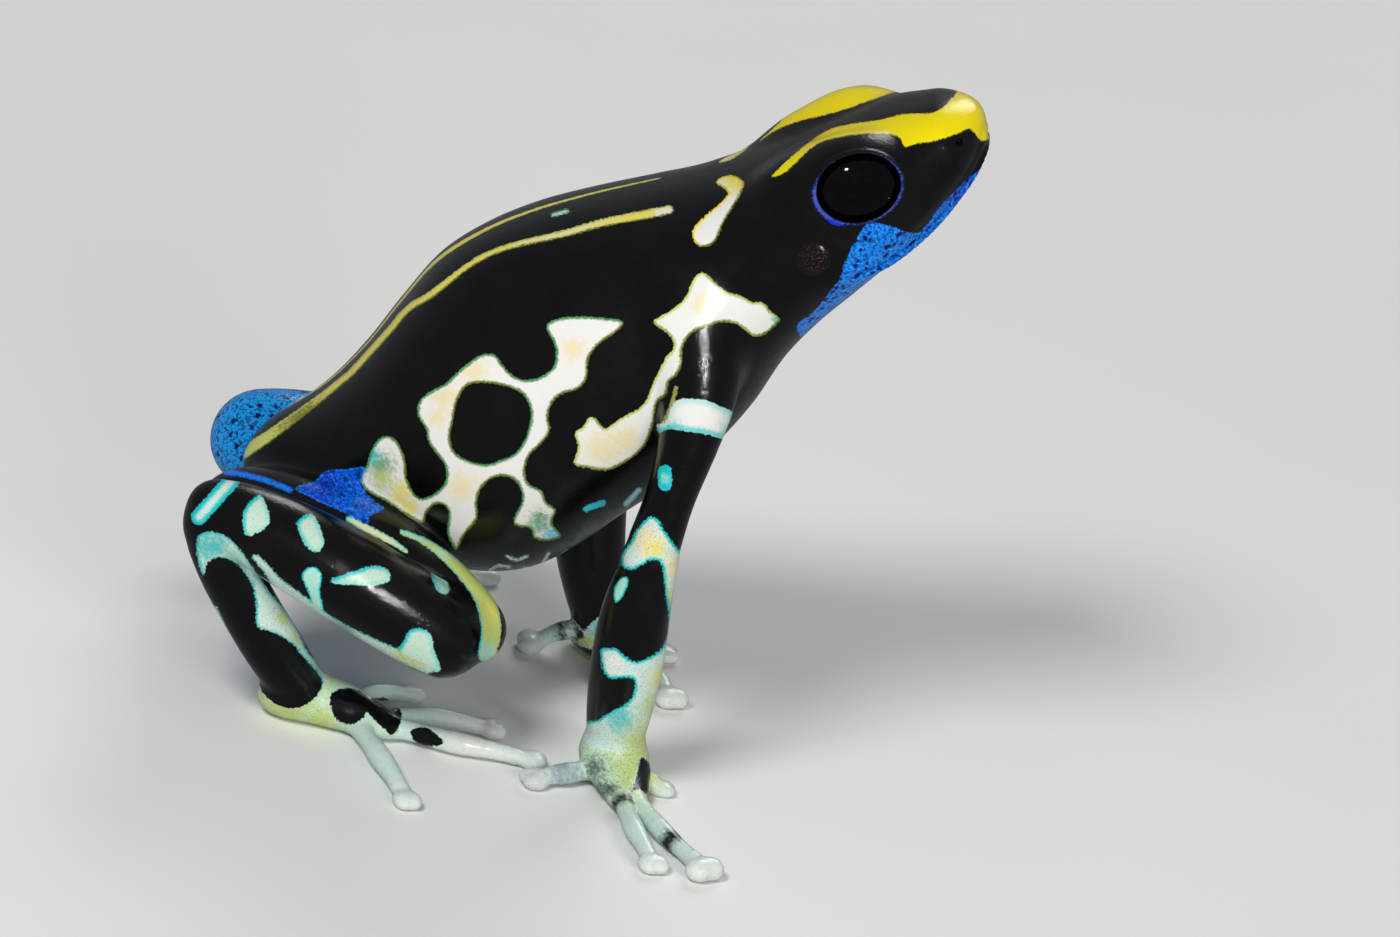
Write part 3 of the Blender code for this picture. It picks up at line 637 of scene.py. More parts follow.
def skin_shape():
    """The skin's points and quads, from its distance on a grid that is fine near it."""
    low = np.array(CAD_BOX[0]) / MM - EDGE_ROOM
    high = np.array(CAD_BOX[1]) / MM + EDGE_ROOM
    block = STEP * COARSE
    counts = np.ceil((high - low) / block).astype(int)
    corners = grid_corners(counts)
    middle = low + (corners + (COARSE - 1) / COARSE / 2) * block
    rough = in_chunks(frog_distance, middle)
    near = np.nonzero(np.abs(rough) < block * BLOCK_SHARE + BLOCK_ROOM)[0]
    cells = (corners[near][:, None, :] * COARSE + grid_corners([COARSE] * 3)[None]).reshape(-1, 3)
    field = rough.reshape(counts).astype(np.float32)
    for axis in range(3):
        field = np.repeat(field, COARSE, axis=axis)
    field[cells[:, 0], cells[:, 1], cells[:, 2]] = in_chunks(frog_distance, low + cells * STEP)
    most = 3 * STEP
    grid = vdb.FloatGrid(most)
    grid.copyFromArray(np.clip(field, -most, most))
    points, quads = grid.convertToQuads(isovalue=0.0)
    return low + np.asarray(points, float) * STEP, np.asarray(quads)


def slope_at(p):
    """The direction in which the distance grows at each point, and the distance."""
    corners = np.array([(1, -1, -1), (-1, -1, 1), (-1, 1, -1), (1, 1, 1)])
    found = [in_chunks(frog_distance, p + corner * SLOPE_ROOM) for corner in corners]
    steep = sum(value[:, None] * corner for value, corner in zip(found, corners)) / (4 * SLOPE_ROOM)
    return steep, sum(found) / 4


def settle(p, times=2):
    """Moves points onto the skin."""
    for _ in range(times):
        steep, distance = slope_at(p)
        size = np.maximum((steep**2).sum(1), LEAST_SLOPE)
        move = -steep * (distance / size)[:, None]
        far = np.linalg.norm(move, axis=1)
        p = p + move * np.minimum(1.0, STEP / np.maximum(far, TINY))[:, None]
        p[:, 2] = np.maximum(p[:, 2], 0.0)
    return p


def vertex_rows(mesh, field):
    """A row of three numbers for each vertex of a mesh."""
    values = np.empty(len(mesh.vertices) * 3)
    mesh.vertices.foreach_get(field, values)
    return values.reshape(-1, 3)


def refine(mesh, chosen):
    """Splits the faces whose vertices are all chosen into four."""
    bm = bmesh.new()
    bm.from_mesh(mesh)
    bm.verts.ensure_lookup_table()
    edges = [e for e in bm.edges if chosen[e.verts[0].index] and chosen[e.verts[1].index]]
    bmesh.ops.subdivide_edges(bm, edges=edges, cuts=1, use_grid_fill=True)
    bm.to_mesh(mesh)
    bm.free()


def make_skin_mesh():
    """The whole skin, with finer faces on the head."""
    points, quads = skin_shape()
    points = settle(points)
    mesh = bpy.data.meshes.new("skin")
    mesh.from_pydata((points * MM).tolist(), [], quads.tolist())
    head = ((points - VENT) @ AXIS_S > FINE_START) & (frog_distance(points, True)[1] == 0)
    refine(mesh, head)
    points = settle(vertex_rows(mesh, "co") / MM)
    mesh.vertices.foreach_set("co", (points * MM).ravel())
    mesh.update()
    return mesh


# Colours of the markings
WHITE = (238, 236, 230)
CREAM = (240, 224, 172)
YELLOW = (243, 222, 0)
PALE_YELLOW = (240, 224, 96)
OLIVE = (104, 112, 16)
GREEN = (70, 150, 90)
LIME = (200, 212, 112)
MINT = (170, 226, 206)
PALE_MINT = (212, 234, 224)
SPOT_MINT = (200, 226, 204)
GREY_MINT = (206, 230, 218)
PAW = (200, 230, 196)
SLIVER = (150, 158, 70)
TURQUOISE = (12, 196, 196)
SKY = (60, 190, 224)
AZURE = (0, 128, 240)
BRIGHT_AZURE = (14, 158, 242)
BLUE = (0, 92, 224)
DEEP_BLUE = (10, 40, 200)
NAVY = (2, 14, 92)
LAVENDER = (66, 82, 168)
PALE_SLATE = (142, 152, 166)
SLATE = (74, 82, 98)
INK = (14, 18, 24)

# How the markings are laid: the seed of their grit, the room around an outline in pixels, how
# far a far vertex may face away from the camera, the way in the photograph (right and down)
# toward which a rim takes its second colour, and how strong a spot is, how gritty and at most
SEED = 11
OUTLINE_ROOM = 14.0
LEAST_FACING = -0.02
RIM_LEAN = np.array([0.75, 0.65])
SPOT_STRENGTH, SPOT_GRIT, MOST_TINT = 1.4, 0.8, 0.85

# Part of the upper arm over which its markings pass from the body's to its own, as shares
SHOULDER_START, SHOULDER_LENGTH = 0.15, 0.35

# Outlines of markings, in pixels of the photograph
OUTLINES = {
    "flank": [
        (546, 327), (554, 320), (575, 316.5), (605, 318), (624, 322), (615, 333), (603, 341), (593, 351),
        (588, 361), (587, 378), (578, 389), (562, 394), (553, 402), (548, 416.5), (550, 431), (540, 445),
        (530, 455), (525, 470), (529, 484), (542, 491), (546, 502), (556, 510), (552, 523), (561, 536),
        (548, 541), (534, 538), (531, 529), (516.5, 526), (513.5, 519), (521, 504), (522, 494),
        (516.5, 482), (505, 476), (491, 479), (481, 489), (477, 502), (477, 519), (464.5, 535), (457, 550),
        (451, 543), (447, 531), (449, 514.5), (445, 506), (436, 504), (427, 512), (423, 523), (409, 516.5),
        (387, 502), (369, 492), (360, 480), (365.5, 467.5), (371, 451), (379, 439), (389, 436), (398, 443),
        (405, 459), (407, 478), (414.5, 494), (424, 498), (438, 491), (446, 480), (445, 465.5), (436, 453),
        (428, 441), (426, 429), (418, 416.5), (419, 402), (428, 393), (446, 383), (462, 368), (481, 355),
        (495, 355), (503, 365.5), (513.5, 376), (528, 380), (544, 375), (554, 365.5), (556, 351),
        (552, 339),
    ],
    "flank_hole": [
        (466.5, 386), (483, 383), (503, 385.5), (520, 392), (528, 402), (531, 416.5), (526, 437),
        (515.5, 453), (501, 460), (485, 464.5), (466.5, 460), (454, 451), (450, 437), (453, 421),
        (457, 402),
    ],
    "shoulder": [
        (693, 280), (698.5, 274), (705, 273), (713, 280), (725, 291), (741, 296), (753, 302), (764, 303),
        (770, 310.5), (780, 319), (774, 327), (764, 335), (753, 336), (744, 329), (734.5, 323.5),
        (722, 322), (708.5, 326), (695, 331), (685.5, 341), (682, 352), (682, 364), (676, 376), (669, 382),
        (666, 395), (658, 401), (655, 411.5), (653, 425), (646, 444), (633.5, 457), (617, 467),
        (606, 470.5), (588, 468), (574, 464), (578, 448), (575, 433), (583, 427), (589, 418), (595, 418),
        (601, 425), (607, 428), (621, 418), (636.5, 410), (646, 401), (652, 385.5), (661, 367), (667, 356),
        (673, 350), (673, 341), (666, 332), (653, 323), (659.5, 317), (673, 309), (685.5, 297),
    ],
    "comma": [
        (716, 182), (730, 175), (744, 182), (741, 194), (733, 207), (723, 224), (716, 240), (705, 247),
        (695, 243), (693, 230), (704, 217), (716, 207), (727, 196), (726, 190),
    ],
    "head_band": [
        (772, 176), (788, 160), (808, 143), (829, 130), (851, 124), (879, 120), (906, 114), (930.5, 113),
        (945, 106), (954.5, 94), (967.5, 88), (985, 95), (995, 117), (992, 136), (982, 141), (975, 134),
        (969, 129), (958, 134), (936, 141), (917.5, 144), (905, 147), (901, 139.5), (893.5, 135),
        (877, 134), (855, 135), (832.5, 139), (818, 144), (805, 154), (792, 167), (781, 175),
    ],
    "far_band": [
        (760, 141), (777, 125), (795.5, 106), (814, 92), (832.5, 86), (855, 84), (880, 86), (900, 90),
        (887, 95), (858, 105), (832.5, 113), (801, 121), (777, 130),
    ],
    "crown": [
        (745, 160), (760, 141), (777, 130), (801, 121), (832.5, 113), (858, 105), (875, 98), (887, 93),
        (893, 80), (953, 80), (955, 95), (945, 106), (928, 112), (906, 114), (879, 120), (851, 124),
        (829, 130), (808, 143), (788, 160), (770, 180),
    ],
    "throat": [
        (868, 224), (877, 223), (893.5, 227), (906, 232), (917.5, 233), (925, 226.5), (936, 212),
        (949, 197), (969, 178), (982, 168), (1004, 150), (1010, 200), (950, 250), (916, 270), (880, 300),
        (840, 335), (808, 342), (797, 326), (814, 311.5), (829, 293), (840, 278), (845, 262), (853, 245),
        (862, 230),
    ],
    "arm_band": [
        (655, 425), (664, 422), (672, 406), (682, 399), (705, 400), (722, 407), (735, 416), (735, 444),
        (722, 439), (707, 434.5), (690, 432), (670, 429), (655, 434),
    ],
    "forearm": [
        (650, 517), (658, 520), (664, 530), (671, 540), (681, 552), (692, 556), (694, 660), (684, 730),
        (672, 780), (600, 780), (570, 745), (584, 724), (598, 720), (604, 716), (614, 710), (625.7, 704),
        (633, 695), (635, 685), (633, 679), (624, 677.7), (614, 679), (606.7, 676), (602, 666),
        (600.8, 650), (608, 648), (617, 649), (624, 655.7), (634.5, 661.6), (646, 658.6), (660, 650),
        (667, 636.6), (669, 619), (667.5, 605), (665.5, 595.6), (663.6, 578), (662, 566), (658, 560.4),
        (650, 560.4), (641.8, 564.8), (634.5, 569), (625.7, 569), (621.3, 563), (622.8, 553), (631.6, 540),
        (639, 526.7),
    ],
    "elbow": [(620.6, 578), (628, 578), (627, 586.8), (621.3, 598.5), (615, 602), (614, 590)],
    "palm_black": [(641.8, 757), (652, 771), (650, 805), (633, 803.6), (631, 796), (636, 778.6)],
    "groin": [
        (295, 488), (315, 481), (326, 471), (346, 469), (366, 468), (360, 483), (371, 498), (384, 509),
        (371, 515), (366, 524), (349, 515), (326, 505), (308, 496),
    ],
    "tarsus_band": [
        (199, 535), (219, 533), (235, 544), (253, 568), (270, 593), (286, 611), (297, 629), (308, 653),
        (326, 666.5), (360, 682), (322, 691), (319.5, 678), (304, 662), (295, 646), (275, 633), (257, 626),
        (256, 606), (251.5, 584), (237, 564), (221, 557), (208, 562), (203.5, 575), (197, 557),
    ],
    "shank_1": [(259, 495), (266, 504), (269, 524), (247, 536), (242.5, 517), (248, 504)],
    "shank_2": [(311, 514), (316, 519), (324, 541.5), (317, 552), (306, 546), (297, 526), (302, 517)],
    "shank_3": [(331, 579.5), (349, 573), (371, 566), (386.5, 569), (390, 579.5), (375, 585), (337, 584)],
    "shank_4": [(432, 572), (446, 580), (449, 592), (440, 593), (434, 584)],
    "shank_5": [(412, 629), (429, 632), (434, 650), (440, 671), (420, 667), (398, 655), (404, 640)],
    "foot_black_1": [
        (242, 650), (262, 644), (294, 650), (308, 662), (320, 676), (321, 689), (307, 701), (292, 698),
        (259, 680),
    ],
    "foot_black_2": [(359, 702), (385, 698), (402, 713), (393.5, 735), (380.5, 726), (370, 715)],
    "foot_black_3": [(331, 695), (345, 688), (362, 692), (370, 704), (360, 721), (345, 724), (333, 715)],
    "foot_black_4": [(411, 731), (424, 727), (437, 735), (443, 744), (426, 746), (414, 741)],
}

# Strokes of markings, and of one painted highlight: their points in pixels, and their half widths
STROKES = {
    "back_stripe": ([
        (669, 210), (644, 215), (602, 223), (563, 234), (511, 246), (474, 262), (432, 294), (409, 308),
        (389, 331), (371, 351), (352, 372), (340, 382), (318, 400), (272, 434), (240, 455),
    ], [4.5, 4.5, 4, 3.5, 3, 3, 3.5, 3.5, 3.5, 3.5, 3.5, 3.5, 4, 5.5, 6.5]),
    "back_dash": ([(553, 215), (567, 211)], 2.5),
    "flank_dash": ([(586, 509), (603, 503)], 3),
    # The chest's pale bluish dash is a painted highlight
    "chest_dash": ([(626, 504), (639, 490)], 3),
    "armpit_line": ([(676, 388), (672, 404), (665, 421)], 2.0),
    "elbow_dash": ([(665, 472), (665, 484)], 7),
    "heel": ([(199, 517), (215, 499), (232, 480)], 8),
    "hip_line": ([(226, 472), (246, 475), (268, 481), (290, 490)], 3),
    "shank_edge": ([(349, 519), (366, 528), (389, 540), (406, 551)], [3, 3.5, 3.5, 2]),
    "shank_line": ([
        (255, 557), (266, 568), (277, 582), (304, 602), (331, 622), (360, 637.5), (393, 653), (427, 666.5),
    ], [3, 4, 5, 5, 5, 5, 6, 7]),
    "shank_branch": ([(312, 577), (314, 590), (318, 608)], [10, 6, 5]),
    "knee": ([
        (402, 532), (424, 541), (445, 556), (464, 573), (479, 590), (488, 609), (491, 632), (487, 654),
    ], [2.5, 3.5, 5, 7, 9, 10, 10, 9]),
    "tarsus_line": ([(215, 608.5), (232.5, 646), (253, 682)], 2.5),
    "streak_1": ([(489, 571), (498, 566), (510, 567)], 2.0),
    "streak_2": ([(507, 556), (517, 560), (527, 556)], 2.0),
    "streak_3": ([(524, 568), (534, 570), (543, 562), (549, 553)], 2.0),
    "streak_4": ([(560, 556), (567, 551)], 2.0),
    "streak_5": ([(468, 571), (478, 573)], 2.0),
}

# Soft spots of other colours on markings, with painted shade among the throat's: x, y and reach in pixels,
# and colour
SPOTS = {
    "back_stripe": [
        (668, 211, 18, WHITE), (560, 234, 60, CREAM), (255, 445, 55, LIME), (300, 415, 30, OLIVE),
    ],
    "flank": [
        (573, 349, 13, CREAM), (475, 372, 14, CREAM), (446, 398, 15, CREAM), (437, 418, 11, CREAM),
        (462, 486, 16, CREAM), (401, 494, 14, PALE_YELLOW), (410, 508, 10, PALE_YELLOW),
        (380, 466, 16, GREEN), (382, 480, 13, LIME), (372, 455, 10, TURQUOISE), (540, 522, 13, GREEN),
        (553, 536, 12, SKY),
    ],
    "shoulder": [
        (703, 305, 13, CREAM), (778, 320, 7, TURQUOISE), (602, 448, 20, CREAM), (625, 440, 16, CREAM),
    ],
    "comma": [(735, 182, 14, YELLOW)],
    "groin": [(320, 486, 30, DEEP_BLUE)],
    # The throat's darker blue spots toward the jaw's underside are painted shade
    "throat": [
        (965, 195, 30, DEEP_BLUE), (935, 235, 16, BLUE), (905, 268, 17, BLUE), (872, 300, 18, BLUE),
        (838, 326, 20, BLUE),
    ],
    "arm_band": [
        (660, 425, 10, MINT), (732, 430, 14, MINT), (676, 430, 9, TURQUOISE), (700, 436, 8, MINT),
        (720, 440, 9, TURQUOISE),
    ],
    "elbow_dash": [(665, 478, 5, MINT)],
    "forearm": [
        (645, 540, 18, CREAM), (655, 548, 12, PALE_YELLOW), (676, 566, 16, CREAM), (670, 600, 15, LIME),
        (672, 640, 14, PALE_YELLOW), (666, 680, 18, PALE_YELLOW), (660, 708, 20, LIME),
        (612, 664, 12, WHITE), (621, 720, 16, TURQUOISE), (645, 745, 28, LIME),
    ],
    "heel": [(215, 499, 10, PALE_MINT)],
    "shank_edge": [(375, 532, 30, CREAM)],
    "shank_line": [(410, 655, 22, LIME), (345, 630, 20, PALE_SLATE)],
    "knee": [(415, 529, 20, MINT), (450, 546, 16, MINT), (488, 655, 16, MINT), (500, 610, 14, PALE_YELLOW)],
    "tarsus_band": [
        (212, 545, 20, TURQUOISE), (235, 560, 14, MINT), (262, 590, 14, PALE_MINT), (286, 616, 12, LIME),
        (300, 640, 12, LIME), (318, 664, 14, LIME),
    ],
    "paws": [
        (640, 770, 34, LIME), (632, 735, 24, LIME), (595, 768, 13, SLATE), (610.5, 789, 8, INK),
        (562, 771, 18, PALE_SLATE), (534, 783, 14, PALE_SLATE), (600, 790, 12, SLATE), (388, 716, 10, INK),
        (285, 700, 34, LIME), (345, 665, 24, LIME), (320, 725, 20, LIME), (400, 745, 40, PALE_MINT),
        (470, 745, 50, WHITE), (690, 886, 7, SLATE),
    ],
}

# Stripes that the body's own lengths give: s, y and half width, in millimetres. The left back
# stripe, and where the left head band passes the snout, past what the camera sees
FAR_STRIPE = [
    (27.7, 1.0, 0.18), (24.5, 0.8, 0.22), (21.5, 0.5, 0.26), (18.5, 0.4, 0.34), (16.2, 0.35, 0.44),
    (14.5, 0.4, 0.48), (12.8, 0.35, 0.42), (10.9, 0.3, 0.34), (9.0, 0.5, 0.28), (7.0, 0.9, 0.28),
    (5.0, 1.3, 0.32), (2.8, 1.7, 0.36),
]
SNOUT_JOIN = [(38.6, 4.4, 1.0), (40.2, 3.8, 0.9), (41.8, 3.0, 0.8), (43.2, 2.1, 0.8)]

# Colour and speckling of hands, feet and digits
PAW_TONES = [("hand", PAW, 0.9), ("foot", PAW, 0.6), ("finger", GREY_MINT, 0.5), ("toe", GREY_MINT, 0.4)]


def linear(colour):
    """A colour of 0 to 255 in linear light."""
    c = np.array(colour, float) / 255
    return np.where(c <= 0.04045, c / 12.92, ((c + 0.055) / 1.055) ** 2.4)


def camera_axes():
    """Right, up and forward directions of the photograph's camera, and its place."""
    level_out = math.cos(CAMERA_HEIGHT)
    side, back = math.sin(CAMERA_TURN) * level_out, -math.cos(CAMERA_TURN) * level_out
    out = np.array([side, back, math.sin(CAMERA_HEIGHT)])
    level = unit(np.cross(-out, UPRIGHT))
    above = np.cross(level, -out)
    right = level * math.cos(CAMERA_ROLL) + above * math.sin(CAMERA_ROLL)
    up = above * math.cos(CAMERA_ROLL) - level * math.sin(CAMERA_ROLL)
    return right, up, -out, LOOKS_AT + out * CAMERA_DISTANCE


def pixels_of(p):
    """Where the photograph's camera sees each point."""
    right, up, forward, place = camera_axes()
    focal = CAMERA_DISTANCE / MM_PER_PIXEL
    offset = p - place
    depth = offset @ forward
    x = PHOTO_SIZE[0] / 2 + focal * (offset @ right) / depth
    y = PHOTO_SIZE[1] / 2 - focal * (offset @ up) / depth
    return np.stack([x, y], axis=1)


def smooth_loop(points, cuts=4):
    """A closed smooth curve through points."""
    p = np.asarray(points, float)
    before, after, beyond = (np.roll(p, shift, 0) for shift in (1, -1, -2))
    bend = 2 * before - 5 * p + 4 * after - beyond
    swing = 3 * p - before - 3 * after + beyond
    shares = np.arange(cuts) / cuts
    rows = [0.5 * (2 * p + (after - before) * t + bend * t**2 + swing * t**3) for t in shares]
    return np.stack(rows, axis=1).reshape(-1, 2)


def loop_depth(q, loop):
    """How deep each pixel lies inside a closed outline, and the way out of its rim."""
    best = np.full(len(q), np.inf)
    away = np.zeros((len(q), 2))
    inside = np.zeros(len(q), bool)
    for a, b in zip(loop, np.roll(loop, -1, 0)):
        edge = b - a
        offset, _ = beside(q - a, edge)
        size = (offset**2).sum(1)
        nearer = size < best
        best[nearer] = size[nearer]
        away[nearer] = offset[nearer]
        if a[1] != b[1]:
            crossing = (a[1] > q[:, 1]) != (b[1] > q[:, 1])
            inside ^= crossing & (q[:, 0] < edge[0] * (q[:, 1] - a[1]) / edge[1] + a[0])
    way = np.where(inside, 1.0, -1.0)
    away = away / np.maximum(np.sqrt(best), SLIGHT)[:, None]
    return np.sqrt(best) * way, away * -way[:, None]


def stroke_depth(q, points, widths):
    """How deep each pixel lies inside a smooth stroke, and the way out of it."""
    count = len(points)
    rows = np.column_stack([np.asarray(points, float), np.broadcast_to(widths, count)])
    if count > 2:
        rows = between(rows, np.arange(count), np.linspace(0, count - 1, 4 * count))
    best = np.full(len(q), -np.inf)
    away = np.zeros((len(q), 2))
    for a, b in zip(rows, rows[1:]):
        offset, share = beside(q - a[:2], b[:2] - a[:2])
        size = np.sqrt((offset**2).sum(1))
        depth = a[2] + share * (b[2] - a[2]) - size
        nearer = depth > best
        best[nearer] = depth[nearer]
        away[nearer] = offset[nearer] / np.maximum(size[nearer], SLIGHT)[:, None]
    return best, away


def shape_depth(q, name):
    """How deep each pixel lies inside a named outline or stroke, and the way out of it."""
    if name in STROKES:
        return stroke_depth(q, *STROKES[name])
    return loop_depth(q, smooth_loop(OUTLINES[name]))


def called(table, start):
    """The names in a table that begin so, in their order."""
    return [name for name in table if name.startswith(start)]


class Paint:
    """The markings at each vertex of the skin.

    `depth` is how far inside the nearest marking a vertex lies, in millimetres and below zero
    outside, `core` and `rim` are its colours in linear light, `edge` is how wide the rim is,
    `dots` is how much it is dotted with dark blue and `grain` how much it is speckled. Parts
    are named by the starts of their names, and rims by one colour or by two to blend between.
    """

    def __init__(self, points, normals, part):
        count = len(points)
        self.points = points
        self.normals = normals
        self.part = part
        self.seen = pixels_of(points)
        self.pixels = pixels_of(twin_points(points, part))
        self.grit = np.random.default_rng(SEED).random(count)
        toward = -camera_axes()[2]
        self.sides = {
            "both": np.ones(count, bool),
            "right": points[:, 1] < 0,
            "far": (points[:, 1] >= 0) & (normals @ toward > LEAST_FACING),
        }
        self.depth = np.full(count, -1.0)
        self.core = np.tile(linear(WHITE), (count, 1))
        self.rim = np.tile(linear(TURQUOISE), (count, 1))
        self.edge = np.full(count, 0.1)
        self.dots = np.zeros(count)
        self.grain = np.full(count, 0.3)

    def on(self, kinds):
        """The vertices of the parts of these kinds."""
        numbers = [k for k, name in enumerate(PIECE_NAMES) if name.startswith(kinds)]
        return np.nonzero(np.isin(self.part, numbers))[0]

    def put(self, here, depth, core, rims, away=None, spots=(), dots=0.0, grain=0.25, edge=0.12):
        """Lays one marking over the vertices `here`, in millimetres of depth."""
        deeper = depth > self.depth[here]
        at = here[deeper]
        self.depth[at] = depth[deeper]
        self.core[at] = linear(core)
        for x, y, reach, colour in spots:
            share = np.exp(-((self.pixels[at] - (x, y)) ** 2).sum(1) / reach**2)
            self.blend(at, colour, np.clip(share * SPOT_STRENGTH - self.grit[at] * SPOT_GRIT, 0, MOST_TINT))
        ends = linear(rims).reshape(-1, 3)
        lean = 0.5 if away is None else (away[deeper] @ RIM_LEAN * 0.5 + 0.5)[:, None]
        self.rim[at] = ends[0] * (1 - lean) + ends[-1] * lean
        self.edge[at] = edge
        self.dots[at] = dots
        self.grain[at] = grain

    def blend(self, at, colour, share):
        """Turns a share of the core's colour into another."""
        share = share[:, None]
        self.core[at] = self.core[at] * (1 - share) + linear(colour) * share

    def near(self, name, kinds, side):
        """The vertices of these parts close to a shape, and the pixels they count as."""
        points = np.array(STROKES[name][0] if name in STROKES else OUTLINES[name], float)
        low, high = points.min(0) - OUTLINE_ROOM, points.max(0) + OUTLINE_ROOM
        here = self.on(kinds)
        pixels = (self.seen if side == "far" else self.pixels)[here]
        chosen = ((pixels > low) & (pixels < high)).all(1) & self.sides[side][here]
        return here[chosen], pixels[chosen]

    def mark(self, name, kinds, core, rims, side="both", hole=None, **looks):
        """Lays the outline or stroke of this name, less its hole, over the parts of these kinds."""
        here, pixels = self.near(name, kinds, side)
        depth, away = shape_depth(pixels, name)
        if hole:
            into, out = shape_depth(pixels, hole)
            cut = -into < depth
            depth[cut] = -into[cut]
            away[cut] = -out[cut]
        self.put(here, depth * MM_PER_PIXEL, core, rims, away, SPOTS.get(name, ()), **looks)

    def black(self, name, kinds, side="both"):
        """Takes an outline out of the markings."""
        here, pixels = self.near(name, kinds, side)
        depth = shape_depth(pixels, name)[0]
        self.depth[here] = np.minimum(self.depth[here], -depth * MM_PER_PIXEL)

    def band(self, places, kinds, core, rims, **looks):
        """A stroke along the back: s, y and half width of its places, in millimetres."""
        rows = [(*body_point(s, y, skin_n(s, y)), width, width) for s, y, width in places]
        tube = Tube(rows, UPRIGHT, 3 * len(rows))
        here = self.on(kinds)
        here = here[inside_box(self.points[here], tube.low, tube.high, EDGE_ROOM)]
        self.put(here, -tube.distance(self.points[here]), core, rims, **looks)


# The belly's guessed marbling: how far down a place faces at least, how fast the marbling
# fades there, how high a wave turns pale, its depth, and each wave's steepness and bends
BELLY_FACING, BELLY_FADE, BELLY_LEVEL, BELLY_DEPTH = 0.75, 8, 1.1, 0.3
BELLY_WAVES = ((1.7, 1.6, 0.9), (2.1, 1.5, 0.8))


def paint_belly(paint):
    """Pale marbling where the trunk faces the floor."""
    here = paint.on("torso")
    here = here[paint.normals[here, 2] < -BELLY_FACING]
    s = (paint.points[here] - VENT) @ AXIS_S
    y = paint.points[here, 1]
    wave = sum(
        np.sin(steep * a + bend * np.sin(slow * b))
        for (steep, bend, slow), a, b in zip(BELLY_WAVES, (s, y), (y, s))
    )
    fade = np.clip((-paint.normals[here, 2] - BELLY_FACING) * BELLY_FADE, 0, 1)
    depth = (wave - BELLY_LEVEL) * BELLY_DEPTH * fade - (1 - fade) * BELLY_DEPTH
    paint.put(here, depth, PALE_SLATE, BLUE, grain=0.8)


def paint_body(paint):
    """Markings of the trunk, and a painted highlight on the chest."""
    body = "torso"
    paint.mark("back_stripe", body, PALE_YELLOW, (LIME, OLIVE), side="right")
    paint.band(FAR_STRIPE, body, PALE_YELLOW, (LIME, OLIVE))
    paint.mark("back_dash", body, PALE_MINT, GREEN, side="right")
    paint.mark("flank", body, WHITE, (GREEN, OLIVE), hole="flank_hole", grain=0.15, edge=0.2)
    paint.mark("shoulder", ("torso", "upper_arm"), WHITE, (LIME, OLIVE), grain=0.15, edge=0.2)
    paint.mark("comma", body, WHITE, (YELLOW, OLIVE), edge=0.16)
    paint.mark("groin", ("torso", "thigh"), BLUE, (AZURE, BLUE), dots=0.8)
    paint.mark("flank_dash", body, SKY, TURQUOISE)
    # A painted highlight: the pale bluish glint on the chest
    paint.mark("chest_dash", body, GREY_MINT, SKY)
    for name in called(STROKES, "streak_"):
        paint.mark(name, body, GREY_MINT, SLATE, grain=0.9, edge=0.08)
    paint_belly(paint)


def paint_head(paint):
    """The yellow bands and the blue throat, darker blue toward the jaw's underside as painted shade."""
    head = "torso"
    yellow = {"core": YELLOW, "rims": (YELLOW, OLIVE), "grain": 0.04, "edge": 0.06}
    paint.mark("head_band", head, **yellow)
    paint.band(SNOUT_JOIN, head, **yellow)
    paint.black("crown", head, side="far")
    paint.mark("far_band", head, side="far", **yellow)
    # The throat's spots darken its blue toward the jaw's underside as painted shade
    paint.mark("throat", head, AZURE, (BLUE, AZURE), dots=1.0, edge=0.05)


# Below this height the forearms are pale all round, and so are the left one's rims up to a
# little above it
WRIST_HEIGHT, WRIST_ROOM = 3.6, 1.0

# How far each arm's markings reach round it, as side, way out and room, and how fast they end
ARM_LIMITS = (("right", -1, 0.5), ("left", 1, -0.1))
ROUND_FADE, WRIST_FADE = 1.2, 0.6


def paint_arms(paint):
    """Markings of the upper arms and forearms, on their outer sides."""
    arm = ("upper_arm", "forearm")
    paint.mark("armpit_line", ("torso", "upper_arm"), SLIVER, SLIVER)
    paint.mark("arm_band", arm, WHITE, (PALE_MINT, TURQUOISE), edge=0.42)
    paint.mark("elbow_dash", arm, TURQUOISE, (TURQUOISE, SKY))
    paint.mark("forearm", arm, PALE_MINT, TURQUOISE, edge=0.22, grain=0.7)
    paint.mark("elbow", arm, MINT, TURQUOISE)
    for side, way, room in ARM_LIMITS:
        here = paint.on((f"upper_arm_{side}", f"forearm_{side}"))
        limit = (paint.normals[here, 1] * way + room) * ROUND_FADE
        low = (WRIST_HEIGHT - paint.points[here, 2]) * WRIST_FADE
        paint.depth[here] = np.minimum(paint.depth[here], np.maximum(limit, low))
    wrist = paint.on("forearm_left")
    wrist = wrist[paint.points[wrist, 2] < WRIST_HEIGHT + WRIST_ROOM]
    paint.rim[wrist] = paint.core[wrist]


def paint_legs(paint):
    """Markings of the shanks, tarsi and knees."""
    leg = "shank"
    knee = ("shank", "thigh")
    paint.mark("heel", leg, PALE_MINT, TURQUOISE, edge=0.4)
    paint.mark("hip_line", (*knee, "torso"), AZURE, BLUE, dots=0.4)
    for name in called(OUTLINES, "shank_"):
        paint.mark(name, leg, SPOT_MINT, (TURQUOISE, MINT), edge=0.3, grain=0.5)
    paint.mark("shank_edge", knee, MINT, (TURQUOISE, LIME), edge=0.1)
    paint.mark("shank_line", leg, GREY_MINT, (TURQUOISE, MINT), grain=0.8)
    paint.mark("shank_branch", leg, MINT, TURQUOISE)
    paint.mark("knee", knee, LIME, (TURQUOISE, LIME), edge=0.16, grain=0.4)
    tarsus = ("tarsus", "foot", "shank")
    paint.mark("tarsus_band", tarsus, PALE_MINT, (TURQUOISE, MINT), grain=0.7, edge=0.2)
    paint.mark("tarsus_line", "tarsus", MINT, (TURQUOISE, MINT))


